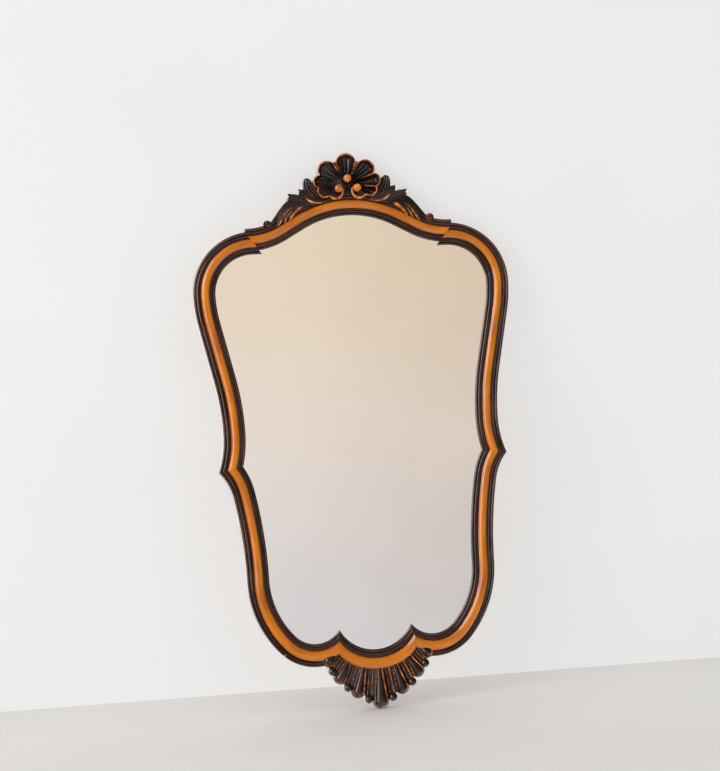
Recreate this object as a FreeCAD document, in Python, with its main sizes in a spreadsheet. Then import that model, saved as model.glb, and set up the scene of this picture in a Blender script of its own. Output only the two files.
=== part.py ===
import FreeCAD, Part
import math
import os
from collections import namedtuple

import Sketcher
from FreeCAD import Placement, Rotation, Vector

# Scalloped wall mirror: a carved hardwood frame of six moulded members, a scooped shell crest with
# leaf sprays, a gadrooned fan at the foot, and a glass held by a backing board and turn buttons.
# X is the width, +Y points into the wall, Z is up. The origin is on the back of the top rail, on
# the mirror's axis. "Depth" is the distance in front of the wall, so a depth d lies at y = -d.

NODE_FOLDER = "parts"
os.makedirs(NODE_FOLDER, exist_ok=True)
doc = FreeCAD.newDocument("ScallopedMirror")

# Driving sizes, in millimetres and degrees. The frame's run is given along the sight edge, the
# inner edge that borders the glass, from the middle of the top rail down to the foot.
SIZES = [
    ("crown_radius", 135.8, "top rail: radius of the crown over the glass"),
    ("crown_turn", 28.9, "top rail: how far the crown turns down on each side"),
    ("rail_slope", 28.9, "top rail: straight run below the crown"),
    ("hollow_radius", 116.2, "top rail: radius of the hollow before the step"),
    ("step_rise", 4.5, "height of the rail over the stile at the stepped joint"),
    ("step_half_width", 139.7, "distance of the stepped joint from the axis"),
    ("step_angle", 37.6, "lean of the stepped joint from upright"),
    ("shoulder_half_width", 198.6, "half of the glass opening at the shoulders"),
    ("shoulder_radius", 56.3, "upper stile: radius of the shoulder"),
    ("flank_radius", 177.4, "upper stile: radius below the shoulder"),
    ("flank_turn", 12.0, "upper stile: lean of the straight flank"),
    ("flank_run", 83.2, "upper stile: length of the straight flank"),
    ("waist_upper_radius", 390.0, "upper stile: radius above the waist"),
    ("waist_lower_radius", 178.0, "upper stile: radius below the waist"),
    ("waist_turn", 15.2, "upper stile: turn from the waist to the side cusp"),
    ("cusp_radius", 107.2, "lower stile: radius below the side cusp"),
    ("cusp_turn", 31.7, "lower stile: lean at the side cusp"),
    ("belly_upper_radius", 660.0, "lower stile: radius above the belly"),
    ("belly_turn", 11.1, "lower stile: turn of the stretch above the belly"),
    ("belly_lower_radius", 126.3, "lower stile: radius below the belly"),
    ("belly_lower_turn", 42.3, "lower stile: turn of the stretch below the belly"),
    ("foot_radius", 40.5, "lower stile: radius of the foot"),
    ("foot_turn", 55.5, "lower stile: turn from the lowest point up to the lower cusp"),
    ("scallop_depth", 32.8, "bottom rail: drop of the scallop below its two cusps"),
    ("bead_width", 3.0, "moulding: bead at the sight edge"),
    ("reed_width", 3.2, "moulding: reed beside that bead"),
    ("cove_width", 3.3, "moulding: slope up to the torus"),
    ("torus_width", 11.6, "moulding: polished torus"),
    ("quirk_width", 1.6, "moulding: quirk outside the torus"),
    ("fillet_width", 3.6, "moulding: swelled fillet"),
    ("rim_width", 3.3, "moulding: bead at the outer rim"),
    ("flare", 3.2, "moulding: spread of the outer side towards the wall"),
    ("sight_height", 13.0, "moulding: depth of the sight bead's crown"),
    ("reed_height", 14.3, "moulding: depth of the reed's crown"),
    ("spring_height", 14.6, "moulding: depth where the torus springs"),
    ("torus_height", 21.5, "moulding: depth of the torus's crown"),
    ("fillet_height", 16.2, "moulding: depth of the fillet's crown"),
    ("rim_height", 16.8, "moulding: depth of the rim bead's crown"),
    ("base_height", 1.2, "moulding: upright edge at the wall"),
    ("rabbet_width", 8.0, "rabbet that takes the glass and the board"),
    ("ledge_width", 9.0, "ledge that takes the turn buttons"),
    ("ledge_depth", 3.2, "depth of that ledge below the frame's back"),
    ("glass_thickness", 3.0, "mirror glass"),
    ("board_thickness", 3.0, "backing board"),
    ("glass_clearance", 1.0, "room round the glass in its rabbet"),
    ("glue_line", 0.15, "room between a carving and the moulding that carries it"),
    ("dowel_radius", 2.5, "dowels in the frame's joints"),
    ("dowel_length", 18.0, "length of a dowel"),
    ("dowel_depth", 8.2, "depth of a dowel's axis"),
    ("dowel_clearance", 0.1, "room round a dowel"),
    ("mitre_share", 0.62, "place of a dowel along its joint, from the sight edge outwards"),
    ("shell_rise", 44.3, "crest: height of the shell's heart over the crown"),
    ("shell_depth", 24.0, "crest: depth of the shell's rims"),
    ("scoop_rim", 2.3, "crest: width of the rim left round each scoop"),
    ("scoop_lift", 2.0, "crest: height of a scoop's axis over the rims"),
    ("scoop_root", 1.6, "crest: radius of a scoop at the heart"),
    ("pearl_radius", 5.8, "crest: turned pearls"),
    ("pearl_seat", 22.0, "crest: depth of the pearls' flat backs"),
    ("pearl_centre", 26.0, "crest: depth of the pearls' middles"),
    ("peg_radius", 2.0, "crest: peg behind a pearl"),
    ("peg_length", 7.0, "crest: length of that peg"),
    ("crest_dowel_offset", 18.0, "crest: distance of its dowels from the axis"),
    ("leaf_back", 5.0, "leaves: depth of their backs"),
    ("leaf_depth", 21.0, "leaves: depth of their faces"),
    ("leaf_rib", 2.2, "leaves: radius of the raised ribs"),
    ("scroll_radius", 6.2, "leaves: radius of the end scroll"),
    ("scroll_depth", 24.0, "leaves: depth of the end scroll's face"),
    ("fan_pitch", 7.8, "fan: angle between neighbouring lobes"),
    ("fan_reach", 140.5, "fan: reach of the lobes from the scallop's centre"),
    ("fan_fall", 5.4, "fan: loss of reach from one lobe to the next"),
    ("fan_tip", 2.5, "fan: extra reach of the middle lobe"),
    ("gadroon_radius", 8.2, "fan: radius of a gadroon at its end"),
    ("gadroon_root", 4.6, "fan: radius of a gadroon at its root"),
    ("bobbin_radius", 5.2, "fan: radius of the bead that ends a narrow lobe"),
    ("bobbin_neck", 4.0, "fan: radius of a narrow lobe's stem at the bead"),
    ("bobbin_root", 3.4, "fan: radius of a narrow lobe's stem at its root"),
    ("fan_axis_depth", 16.0, "fan: depth of the lobes' axes"),
    ("fan_ground", 18.0, "fan: depth of the ground between the lobes"),
    ("fan_back", 3.0, "fan: depth of its back"),
    ("fan_dowel_offset", 13.0, "fan: distance of its dowels from the axis"),
    ("button_half_width", 3.4, "turn button: half width"),
    ("button_reach", 10.5, "turn button: from the screw to the tip"),
    ("button_thickness", 1.2, "turn button: thickness"),
    ("button_gap", 0.3, "turn button: room over the ledge"),
    ("screw_radius", 1.5, "button screw: shank"),
    ("screw_length", 7.0, "button screw: length in the wood"),
    ("head_radius", 2.8, "button screw: head"),
    ("head_thickness", 1.1, "button screw: head"),
    ("screw_clearance", 0.2, "room round a screw's shank and under its head"),
    ("recess_depth", 6.0, "hanger: depth of the recess behind the shell"),
    ("recess_margin", 2.0, "hanger: room round the ring and the plate"),
    ("hanger_rise", 14.0, "hanger: height of the eye over the shell's heart"),
    ("hanger_axis_depth", 3.0, "hanger: depth of the eye's axis"),
    ("ring_radius", 9.0, "hanger: ring, to the middle of its wire"),
    ("ring_wire", 1.2, "hanger: radius of the ring's wire"),
    ("eye_bore", 1.8, "hanger: bore of the eye"),
    ("eye_radius", 2.6, "hanger: outside of the eye"),
    ("eye_length", 5.0, "hanger: length of the eye"),
    ("plate_width", 9.0, "hanger: width of the plate"),
    ("plate_length", 16.0, "hanger: length of the plate above the eye"),
    ("plate_thickness", 1.4, "hanger: thickness of the plate"),
    ("hanger_screw_radius", 1.3, "hanger screw: shank"),
    ("hanger_screw_length", 5.0, "hanger screw: length in the wood"),
    ("hanger_head_radius", 2.2, "hanger screw: head"),
    ("hanger_head_thickness", 0.9, "hanger screw: head"),
    ("hanger_screw_near", 6.0, "hanger: first screw over the eye"),
    ("hanger_screw_far", 12.5, "hanger: second screw over the eye"),
]

# Lobes of the shell round its heart: angle from upright, reach and radius. Scooped lobes are the
# open flutes; the others are the ribs, the scrolls under the lower pearls and the heart itself.
Lobe = namedtuple("Lobe", "name angle reach radius scooped")
SHELL_LOBES = [
    Lobe("top_lobe", 0.0, 29.0, 15.0, True),
    Lobe("rib_lobe", 33.0, 31.0, 6.0, False),
    Lobe("upper_lobe", 54.5, 34.4, 14.0, True),
    Lobe("middle_lobe", 84.3, 40.2, 10.0, True),
    Lobe("lower_lobe", 105.0, 36.3, 9.3, True),
    Lobe("link_lobe", 110.0, 26.6, 7.0, False),
    Lobe("curl_lobe", 125.0, 16.5, 10.2, False),
    Lobe("heart_lobe", 180.0, 6.0, 8.0, False),
]
for lobe in SHELL_LOBES:
    SIZES.append((lobe.name + "_angle", lobe.angle, "shell lobe: angle from upright"))
    SIZES.append((lobe.name + "_reach", lobe.reach, "shell lobe: reach from the heart"))
    SIZES.append((lobe.name + "_radius", lobe.radius, "shell lobe: radius"))

sheet = doc.addObject("Spreadsheet::Sheet", "Sizes")
for row, (alias, value, note) in enumerate(SIZES, start=1):
    sheet.set("A%d" % row, str(value))
    sheet.setAlias("A%d" % row, alias)
    sheet.set("B%d" % row, note)
doc.recompute()


def size(alias):
    return float(sheet.get(alias))


# Sizes worked out from the driving ones.
RABBET_DEPTH = size("ledge_depth") + size("board_thickness") + size("glass_thickness")
LEDGE_REACH = size("rabbet_width") + size("ledge_width")
TORUS_FIRST = size("bead_width") + size("reed_width") + size("cove_width")
TORUS_LAST = TORUS_FIRST + size("torus_width")
FACE_WIDTH = TORUS_LAST + size("quirk_width") + size("fillet_width") + size("rim_width")
BASE_WIDTH = FACE_WIDTH + size("flare")
CROWN_HEIGHT = -(LEDGE_REACH + BASE_WIDTH) / 2
GLASS_REACH = size("rabbet_width") - size("glass_clearance")
SEAT_WIDTH = BASE_WIDTH + size("glue_line")
TORUS_EDGE = TORUS_LAST + size("glue_line")

# The sight edge as straight runs and bends. A bend's centre lies inside the opening where
# "grows" is 1: an offset towards the outside then adds to its radius.
Run = namedtuple("Run", "first last outward")
Bend = namedtuple("Bend", "centre radius first last grows")


def polar(centre, radius, angle):
    return (centre[0] + radius * math.cos(angle), centre[1] + radius * math.sin(angle))


def walk(start, heading, moves):
    """Follow runs (length,) and bends (radius, turn); a turn is positive to the left, in degrees."""
    here = start
    angle = math.radians(heading)
    path = []
    for move in moves:
        outward = (-math.sin(angle), math.cos(angle))
        if len(move) == 1:
            there = (here[0] + move[0] * math.cos(angle), here[1] + move[0] * math.sin(angle))
            path.append(Run(here, there, outward))
            here = there
            continue
        radius, turn = move
        grows = 1 if turn < 0 else -1
        centre = (here[0] - grows * radius * outward[0], here[1] - grows * radius * outward[1])
        first = math.atan2(here[1] - centre[1], here[0] - centre[0])
        last = first + math.radians(turn)
        path.append(Bend(centre, radius, first, last, grows))
        here = polar(centre, radius, last)
        angle += math.radians(turn)
    return path, here


def offset_point(piece, reach, at_end):
    """First or last point of a run or bend that is moved outwards by reach."""
    if isinstance(piece, Run):
        base = piece.last if at_end else piece.first
        return (base[0] + reach * piece.outward[0], base[1] + reach * piece.outward[1])
    angle = piece.last if at_end else piece.first
    return polar(piece.centre, piece.radius + piece.grows * reach, angle)


def stretch(path, reach, first=None, last=None):
    """Offset path as (start, middle, end) triples, with middle None on a straight run."""
    triples = []
    for number, piece in enumerate(path):
        start = offset_point(piece, reach, False)
        end = offset_point(piece, reach, True)
        if number == 0 and first:
            start = first
        if number == len(path) - 1 and last:
            end = last
        middle = None
        if isinstance(piece, Bend):
            chord = ((start[0] + end[0]) / 2 - piece.centre[0], (start[1] + end[1]) / 2 - piece.centre[1])
            toward = math.atan2(chord[1], chord[0])
            middle = polar(piece.centre, piece.radius + piece.grows * reach, toward)
        triples.append((start, middle, end))
    return triples


def mirrored(triples):
    """The same triples on the other side of the axis, walked the other way."""
    flip = lambda point: None if point is None else (-point[0], point[1])
    return [(flip(end), flip(middle), flip(start)) for start, middle, end in reversed(triples)]


def circles_meet(bend_a, bend_b, reach, near):
    """Crossing of two offset bends that lies nearest to a point."""
    radius_a = bend_a.radius + bend_a.grows * reach
    radius_b = bend_b.radius + bend_b.grows * reach
    return round_meet(bend_a.centre, radius_a, bend_b.centre, radius_b, near)


def round_meet(centre_a, radius_a, centre_b, radius_b, near):
    dx = centre_b[0] - centre_a[0]
    dz = centre_b[1] - centre_a[1]
    apart = math.hypot(dx, dz)
    along = (apart ** 2 + radius_a ** 2 - radius_b ** 2) / (2 * apart)
    aside = math.sqrt(radius_a ** 2 - along ** 2)
    foot = (centre_a[0] + along * dx / apart, centre_a[1] + along * dz / apart)
    both = [(foot[0] - sign * aside * dz / apart, foot[1] + sign * aside * dx / apart) for sign in (1, -1)]
    return min(both, key=lambda point: math.hypot(point[0] - near[0], point[1] - near[1]))


def line_meet(path, reach, point, direction):
    """Where a straight line first crosses an offset path: the piece's number and the crossing."""
    normal = (-direction[1], direction[0])
    level = normal[0] * point[0] + normal[1] * point[1]
    for number, piece in enumerate(path):
        start = offset_point(piece, reach, False)
        end = offset_point(piece, reach, True)
        before = normal[0] * start[0] + normal[1] * start[1] - level
        after = normal[0] * end[0] + normal[1] * end[1] - level
        if before * after > 0:
            continue
        if isinstance(piece, Run):
            share = before / (before - after)
            return number, (start[0] + share * (end[0] - start[0]), start[1] + share * (end[1] - start[1]))
        radius = piece.radius + piece.grows * reach
        distance = level - normal[0] * piece.centre[0] - normal[1] * piece.centre[1]
        half = math.sqrt(radius ** 2 - distance ** 2)
        foot = (piece.centre[0] + distance * normal[0], piece.centre[1] + distance * normal[1])
        both = [(foot[0] + sign * half * direction[0], foot[1] + sign * half * direction[1]) for sign in (1, -1)]
        middle = ((start[0] + end[0]) / 2, (start[1] + end[1]) / 2)
        return number, min(both, key=lambda p: math.hypot(p[0] - middle[0], p[1] - middle[1]))
    raise ValueError("the joint misses the frame")


# Sight edge of each member on the right-hand side. Ends run past their joints and are trimmed.
END_RUN = 2 * BASE_WIDTH
CUSP_EXTRA = 16.0
RAIL_PATH, rail_end = walk(
    (0.0, CROWN_HEIGHT),
    0.0,
    [
        (size("crown_radius"), -size("crown_turn")),
        (size("rail_slope"),),
        (size("hollow_radius"), size("crown_turn")),
        (END_RUN,),
    ],
)
SHOULDER_TOP = rail_end[1] - size("step_rise")
shoulder_start = size("shoulder_half_width") - size("shoulder_radius")
UPPER_PATH, upper_end = walk(
    (shoulder_start - END_RUN, SHOULDER_TOP),
    0.0,
    [
        (END_RUN,),
        (size("shoulder_radius"), -90.0),
        (size("flank_radius"), -size("flank_turn")),
        (size("flank_run"),),
        (size("waist_upper_radius"), size("flank_turn")),
        (size("waist_lower_radius"), size("waist_turn") + CUSP_EXTRA),
    ],
)
waist_bend = UPPER_PATH[5]
SIDE_CUSP = polar(waist_bend.centre, waist_bend.radius, waist_bend.first + math.radians(size("waist_turn")))


def lower_walk(extra):
    """The lower stile from the side cusp, starting a few degrees before it."""
    lean = math.radians(size("cusp_turn"))
    centre = (
        SIDE_CUSP[0] + size("cusp_radius") * math.cos(lean),
        SIDE_CUSP[1] - size("cusp_radius") * math.sin(lean),
    )
    start = polar(centre, size("cusp_radius"), math.pi - lean - math.radians(extra))
    return walk(
        start,
        -90.0 - size("cusp_turn") - extra,
        [
            (size("cusp_radius"), size("cusp_turn") + extra - size("belly_turn")),
            (size("belly_upper_radius"), size("belly_turn")),
            (size("belly_lower_radius"), -size("belly_lower_turn")),
            (size("foot_radius"), size("belly_lower_turn") - 90.0 - size("foot_turn")),
        ],
    )


LOWER_PATH, LOWER_CUSP = lower_walk(CUSP_EXTRA)
BELLY = offset_point(LOWER_PATH[1], 0.0, True)
SCALLOP_RADIUS = (LOWER_CUSP[0] ** 2 + size("scallop_depth") ** 2) / (2 * size("scallop_depth"))
SCALLOP_CENTRE = (0.0, LOWER_CUSP[1] - size("scallop_depth") + SCALLOP_RADIUS)
scallop_side = math.atan2(LOWER_CUSP[1] - SCALLOP_CENTRE[1], LOWER_CUSP[0])
SCALLOP_PATH = [Bend(SCALLOP_CENTRE, SCALLOP_RADIUS, scallop_side, -math.pi / 2, 1)]
FOOT = LOWER_PATH[3]

# Joint lines: the skew cut between rail and stile, and the two mitres, from sight edge to base.
step_lean = math.radians(size("step_angle"))
STEP_DIRECTION = (math.sin(step_lean), math.cos(step_lean))
STEP_POINT = (size("step_half_width"), SHOULDER_TOP + FACE_WIDTH / 2)
SIDE_MITRE = (SIDE_CUSP, circles_meet(waist_bend, LOWER_PATH[0], BASE_WIDTH, SIDE_CUSP))
LOWER_MITRE = (LOWER_CUSP, circles_meet(FOOT, SCALLOP_PATH[0], BASE_WIDTH, LOWER_CUSP))

subparts = []


def keep(part):
    """List a finished sub-part; its Label names its node and file."""
    subparts.append(part)
    return part


def new_body(label):
    body = doc.addObject("PartDesign::Body", label)
    body.Label = label
    body.Placement = Placement()
    return body


def sketch_on(body, name, plane="XZ_Plane", at=(0.0, 0.0), depth=0.0, turn=0.0):
    """A sketch on one of the body's own planes; on XZ_Plane, depth runs towards the front."""
    sketch = body.newObject("Sketcher::SketchObject", name)
    own_plane = [item for item in body.Origin.OriginFeatures if item.Role == plane][0]
    sketch.AttachmentSupport = [(own_plane, "")]
    sketch.MapMode = "FlatFace"
    sketch.AttachmentOffset = Placement(Vector(at[0], at[1], depth), Rotation(Vector(0, 0, 1), turn))
    return sketch


def draw(sketch, triples):
    """Add straight runs and three-point arcs to a sketch."""
    for start, middle, end in triples:
        if middle is None:
            sketch.addGeometry(Part.LineSegment(Vector(*start, 0), Vector(*end, 0)))
        else:
            sketch.addGeometry(Part.Arc(Vector(*start, 0), Vector(*middle, 0), Vector(*end, 0)))


def polygon(points):
    return [(points[i], None, points[(i + 1) % len(points)]) for i in range(len(points))]


def circle_in(sketch, centre, alias):
    """A circle whose radius is bound to a cell of the sheet."""
    number = sketch.addGeometry(Part.Circle(Vector(*centre, 0), Vector(0, 0, 1), size(alias)))
    sketch.addConstraint(Sketcher.Constraint("Radius", number, size(alias)))
    rule = sketch.ConstraintCount - 1
    sketch.renameConstraint(rule, "radius_%d" % rule)
    sketch.setExpression("Constraints.radius_%d" % rule, "Sizes." + alias)


def pad(body, name, sketch, length):
    """Pad a sketch towards the front; length is an expression of the sheet's cells."""
    feature = body.newObject("PartDesign::Pad", name)
    feature.Profile = sketch
    feature.setExpression("Length", length)
    doc.recompute()
    return feature


def pocket(body, name, sketch, length):
    """Cut a sketch out towards the front, and make sure that it removed wood."""
    doc.recompute()
    before = body.Shape.Volume
    feature = body.newObject("PartDesign::Pocket", name)
    feature.Profile = sketch
    feature.Reversed = True
    feature.setExpression("Length", length)
    doc.recompute()
    if body.Shape.Volume >= before:
        raise ValueError("%s of %s cuts nothing" % (name, body.Label))
    return feature


def bore(body, name, at, depth, radius, length, direction=None):
    """Drill a body from a point at a depth: along direction in the XZ plane, or towards the front."""
    hole = body.newObject("PartDesign::SubtractiveCylinder", name)
    own_plane = [item for item in body.Origin.OriginFeatures if item.Role == "XZ_Plane"][0]
    hole.AttachmentSupport = [(own_plane, "")]
    hole.MapMode = "FlatFace"
    aim = Rotation() if direction is None else Rotation(Vector(0, 0, 1), Vector(*direction, 0))
    hole.AttachmentOffset = Placement(Vector(at[0], at[1], depth), aim)
    hole.setExpression("Radius", radius)
    hole.setExpression("Height", length)
    doc.recompute()
    return hole


def side_name(side, name):
    return ("right_" if side > 0 else "left_") + name


def flip_side(triples, side):
    return triples if side > 0 else mirrored(triples)


# Moulding.


def moulding_section():
    """Section from the sight edge outwards, as (reach, depth) triples."""
    bead_end = size("bead_width")
    reed_end = bead_end + size("reed_width")
    quirk_end = TORUS_LAST + size("quirk_width")
    fillet_end = quirk_end + size("fillet_width")
    bead_foot = size("sight_height") - size("bead_width") / 2
    reed_foot = size("reed_height") - size("reed_width") / 3
    fillet_foot = size("fillet_height") - size("fillet_width") / 3
    rim_foot = size("rim_height") - size("rim_width") / 2
    spring = size("spring_height")
    corners = [
        ((0.0, RABBET_DEPTH), None),
        ((0.0, bead_foot), (bead_end / 2, size("sight_height"))),
        ((bead_end, bead_foot), None),
        ((bead_end, reed_foot), ((bead_end + reed_end) / 2, size("reed_height"))),
        ((reed_end, reed_foot), None),
        ((TORUS_FIRST, spring), ((TORUS_FIRST + TORUS_LAST) / 2, size("torus_height"))),
        ((TORUS_LAST, spring), None),
        ((quirk_end, fillet_foot), ((quirk_end + fillet_end) / 2, size("fillet_height"))),
        ((fillet_end, rim_foot), ((fillet_end + FACE_WIDTH) / 2, size("rim_height"))),
        ((FACE_WIDTH, rim_foot), None),
        ((BASE_WIDTH, size("base_height")), None),
        ((BASE_WIDTH, 0.0), None),
        ((LEDGE_REACH, 0.0), None),
        ((LEDGE_REACH, size("ledge_depth")), None),
        ((size("rabbet_width"), size("ledge_depth")), None),
        ((size("rabbet_width"), RABBET_DEPTH), None),
    ]
    return [
        (corner, middle, corners[(number + 1) % len(corners)][0])
        for number, (corner, middle) in enumerate(corners)
    ]


def placed_section(place):
    """The section with each (reach, depth) carried to sketch coordinates by place."""
    carry = lambda point: None if point is None else place(*point)
    return [(carry(start), carry(middle), carry(end)) for start, middle, end in moulding_section()]


def run_moulding(body, spine_triples, section_sketch):
    """Sweep the section along a path in the XZ plane that passes through it."""
    spine = sketch_on(body, "sight_edge")
    draw(spine, spine_triples)
    doc.recompute()
    sweep = body.newObject("PartDesign::AdditivePipe", "moulding")
    sweep.Profile = section_sketch
    sweep.Spine = (spine, ["Edge%d" % (number + 1) for number in range(len(spine_triples))])
    doc.recompute()
    return sweep


def trim(body, name, point, direction, keep_left):
    """Cut off everything on one side of a joint line in the XZ plane."""
    span = 3 * END_RUN
    left = (-direction[1], direction[0])
    away = -1 if keep_left else 1
    near = (point[0] - span * direction[0], point[1] - span * direction[1])
    far = (point[0] + span * direction[0], point[1] + span * direction[1])
    shift = (away * span * left[0], away * span * left[1])
    corners = [near, far, (far[0] + shift[0], far[1] + shift[1]), (near[0] + shift[0], near[1] + shift[1])]
    waste = sketch_on(body, name + "_line", depth=-size("base_height"))
    draw(waste, polygon(corners))
    pocket(body, name, waste, "2 * (Sizes.torus_height + Sizes.base_height)")


def line_of(joint, side=1):
    """Point and direction of a joint that is given by its two ends."""
    (x1, z1), (x2, z2) = joint
    length = math.hypot(x2 - x1, z2 - z1)
    return (side * x1, z1), (side * (x2 - x1) / length, (z2 - z1) / length)


def joint_spot(joint):
    """Middle of the dowel in a joint, and the direction square to the joint line."""
    (x1, z1), (x2, z2) = joint
    share = size("mitre_share")
    length = math.hypot(x2 - x1, z2 - z1)
    spot = (x1 + share * (x2 - x1), z1 + share * (z2 - z1))
    return spot, ((z2 - z1) / length, -(x2 - x1) / length)


step_first = line_meet(UPPER_PATH, 0.0, STEP_POINT, STEP_DIRECTION)[1]
step_last = line_meet(RAIL_PATH, FACE_WIDTH, STEP_POINT, STEP_DIRECTION)[1]
STEP_JOINT = (step_first, step_last)
DOWEL_JOINTS = [STEP_JOINT, SIDE_MITRE, LOWER_MITRE]


def dowel_holes(body, name, joint, side):
    """Hole for one joint's dowel; it runs a little past the dowel at both ends."""
    spot, across = joint_spot(joint)
    half = size("dowel_length") / 2 + size("dowel_clearance")
    start = (side * (spot[0] - half * across[0]), spot[1] - half * across[1])
    bore(
        body,
        name,
        start,
        size("dowel_depth"),
        "Sizes.dowel_radius + Sizes.dowel_clearance",
        "Sizes.dowel_length + 2 * Sizes.dowel_clearance",
        (side * across[0], across[1]),
    )


def button_spots():
    """Screw places of the turn buttons: name, place, and the direction to the opening's inside."""
    middle = (size("rabbet_width") + LEDGE_REACH) / 2
    spots = []
    for side in (-1, 1):
        word = "left" if side < 0 else "right"
        for place, piece in (("top", RAIL_PATH[1]), ("upper", UPPER_PATH[3])):
            base = ((piece.first[0] + piece.last[0]) / 2, (piece.first[1] + piece.last[1]) / 2)
            spot = (base[0] + middle * piece.outward[0], base[1] + middle * piece.outward[1])
            inward = (-side * piece.outward[0], -piece.outward[1])
            spots.append(("turn_button_%s_%s" % (place, word), (side * spot[0], spot[1]), inward))
        belly_spot = (side * (BELLY[0] + middle), BELLY[1])
        spots.append(("turn_button_lower_%s" % word, belly_spot, (-side, 0.0)))
    foot_spot = (0.0, SCALLOP_CENTRE[1] - SCALLOP_RADIUS - middle)
    spots.append(("turn_button_bottom", foot_spot, (0.0, 1.0)))
    return spots


BUTTONS = button_spots()


def button_holes(body, wanted):
    """Pilot holes for the screws of the turn buttons on one member."""
    for name, spot, _ in BUTTONS:
        if name in wanted:
            bore(
                body,
                name.replace("turn_button", "pilot"),
                spot,
                size("ledge_depth"),
                "Sizes.screw_radius",
                "Sizes.screw_length",
            )


def make_top_rail():
    body = new_body("top_rail")
    section = sketch_on(body, "section", plane="YZ_Plane")
    draw(section, placed_section(lambda reach, depth: (-depth, CROWN_HEIGHT + reach)))
    right = stretch(RAIL_PATH, 0.0)
    run_moulding(body, mirrored(right) + right, section)
    for side in (1, -1):
        point = (side * STEP_POINT[0], STEP_POINT[1])
        direction = (side * STEP_DIRECTION[0], STEP_DIRECTION[1])
        trim(body, side_name(side, "step"), point, direction, side > 0)
    return body


def crest_dowel_spots():
    """Lower ends of the crest's dowels, in the rail's outer edge."""
    reach = SEAT_WIDTH - size("dowel_length") / 2
    spots = []
    for side in (-1, 1):
        across = size("crest_dowel_offset")
        drop = math.sqrt((size("crown_radius") + reach) ** 2 - across ** 2)
        spots.append((side * across, RAIL_PATH[0].centre[1] + drop))
    return spots


def fan_dowel_spots():
    """Upper ends of the fan's dowels, in the bottom rail's outer edge."""
    reach = SEAT_WIDTH - size("dowel_length") / 2
    across = size("fan_dowel_offset")
    drop = math.sqrt((SCALLOP_RADIUS + reach) ** 2 - across ** 2)
    return [(side * across, SCALLOP_CENTRE[1] - drop) for side in (-1, 1)]


def upright_holes(body, name, spots, direction):
    """Holes for dowels that stand upright between a carving and the moulding."""
    for number, spot in enumerate(spots, start=1):
        start = (spot[0], spot[1] - direction * size("dowel_clearance"))
        bore(
            body,
            "%s_%d" % (name, number),
            start,
            size("dowel_depth"),
            "Sizes.dowel_radius + Sizes.dowel_clearance",
            "Sizes.dowel_length + 2 * Sizes.dowel_clearance",
            (0.0, direction),
        )


def make_stile(label, path, place_at, joints, side):
    """A stile swept along its path; joints are (name, point, direction, keep_left) on the right."""
    body = new_body(side_name(side, label))
    section = sketch_on(body, "section", plane="XY_Plane", depth=place_at[1])
    draw(section, placed_section(lambda reach, depth: (side * (place_at[0] + reach), -depth)))
    run_moulding(body, flip_side(stretch(path, 0.0), side), section)
    for name, point, direction, keep_left in joints:
        flipped = (side * direction[0], direction[1])
        trim(body, name, (side * point[0], point[1]), flipped, keep_left == (side > 0))
    return body


def make_bottom_rail():
    body = new_body("bottom_rail")
    section = sketch_on(body, "section", plane="YZ_Plane")
    low = SCALLOP_CENTRE[1] - SCALLOP_RADIUS
    draw(section, placed_section(lambda reach, depth: (-depth, low - reach)))
    half = stretch(SCALLOP_PATH, 0.0)
    run_moulding(body, half + mirrored(half), section)
    for side in (1, -1):
        point, direction = line_of(LOWER_MITRE, side)
        trim(body, side_name(side, "mitre"), point, direction, side < 0)
    return body


def make_frame():
    rail = make_top_rail()
    for side in (1, -1):
        dowel_holes(rail, side_name(side, "step_dowel"), STEP_JOINT, side)
    button_holes(rail, ("turn_button_top_left", "turn_button_top_right"))
    upright_holes(rail, "crest_dowel", crest_dowel_spots(), 1.0)
    keep(rail)
    side_point, side_direction = line_of(SIDE_MITRE)
    low_point, low_direction = line_of(LOWER_MITRE)
    for side in (-1, 1):
        word = "left" if side < 0 else "right"
        upper_joints = [
            ("step", STEP_POINT, STEP_DIRECTION, False),
            ("side_mitre", side_point, side_direction, True),
        ]
        upper = make_stile("upper_stile", UPPER_PATH, offset_point(UPPER_PATH[1], 0.0, True), upper_joints, side)
        dowel_holes(upper, "step_dowel", STEP_JOINT, side)
        dowel_holes(upper, "side_dowel", SIDE_MITRE, side)
        button_holes(upper, ("turn_button_upper_" + word,))
        keep(upper)
        lower_joints = [
            ("side_mitre", side_point, side_direction, False),
            ("lower_mitre", low_point, low_direction, True),
        ]
        lower = make_stile("lower_stile", LOWER_PATH, BELLY, lower_joints, side)
        dowel_holes(lower, "side_dowel", SIDE_MITRE, side)
        dowel_holes(lower, "lower_dowel", LOWER_MITRE, side)
        button_holes(lower, ("turn_button_lower_" + word,))
        keep(lower)
    bottom = make_bottom_rail()
    for side in (1, -1):
        dowel_holes(bottom, side_name(side, "lower_dowel"), LOWER_MITRE, side)
    button_holes(bottom, ("turn_button_bottom",))
    upright_holes(bottom, "fan_dowel", fan_dowel_spots(), -1.0)
    keep(bottom)


make_frame()


def group(label, members):
    """One node of several separate solids."""
    compound = doc.addObject("Part::Compound", label)
    compound.Label = label
    compound.Links = members
    doc.recompute()
    return keep(compound)


def dowel(name, start, direction):
    pin = doc.addObject("Part::Cylinder", name)
    pin.setExpression("Radius", "Sizes.dowel_radius")
    pin.setExpression("Height", "Sizes.dowel_length")
    aim = Rotation(Vector(0, 0, 1), Vector(direction[0], 0, direction[1]))
    pin.Placement = Placement(Vector(start[0], -size("dowel_depth"), start[1]), aim)
    return pin


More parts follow.
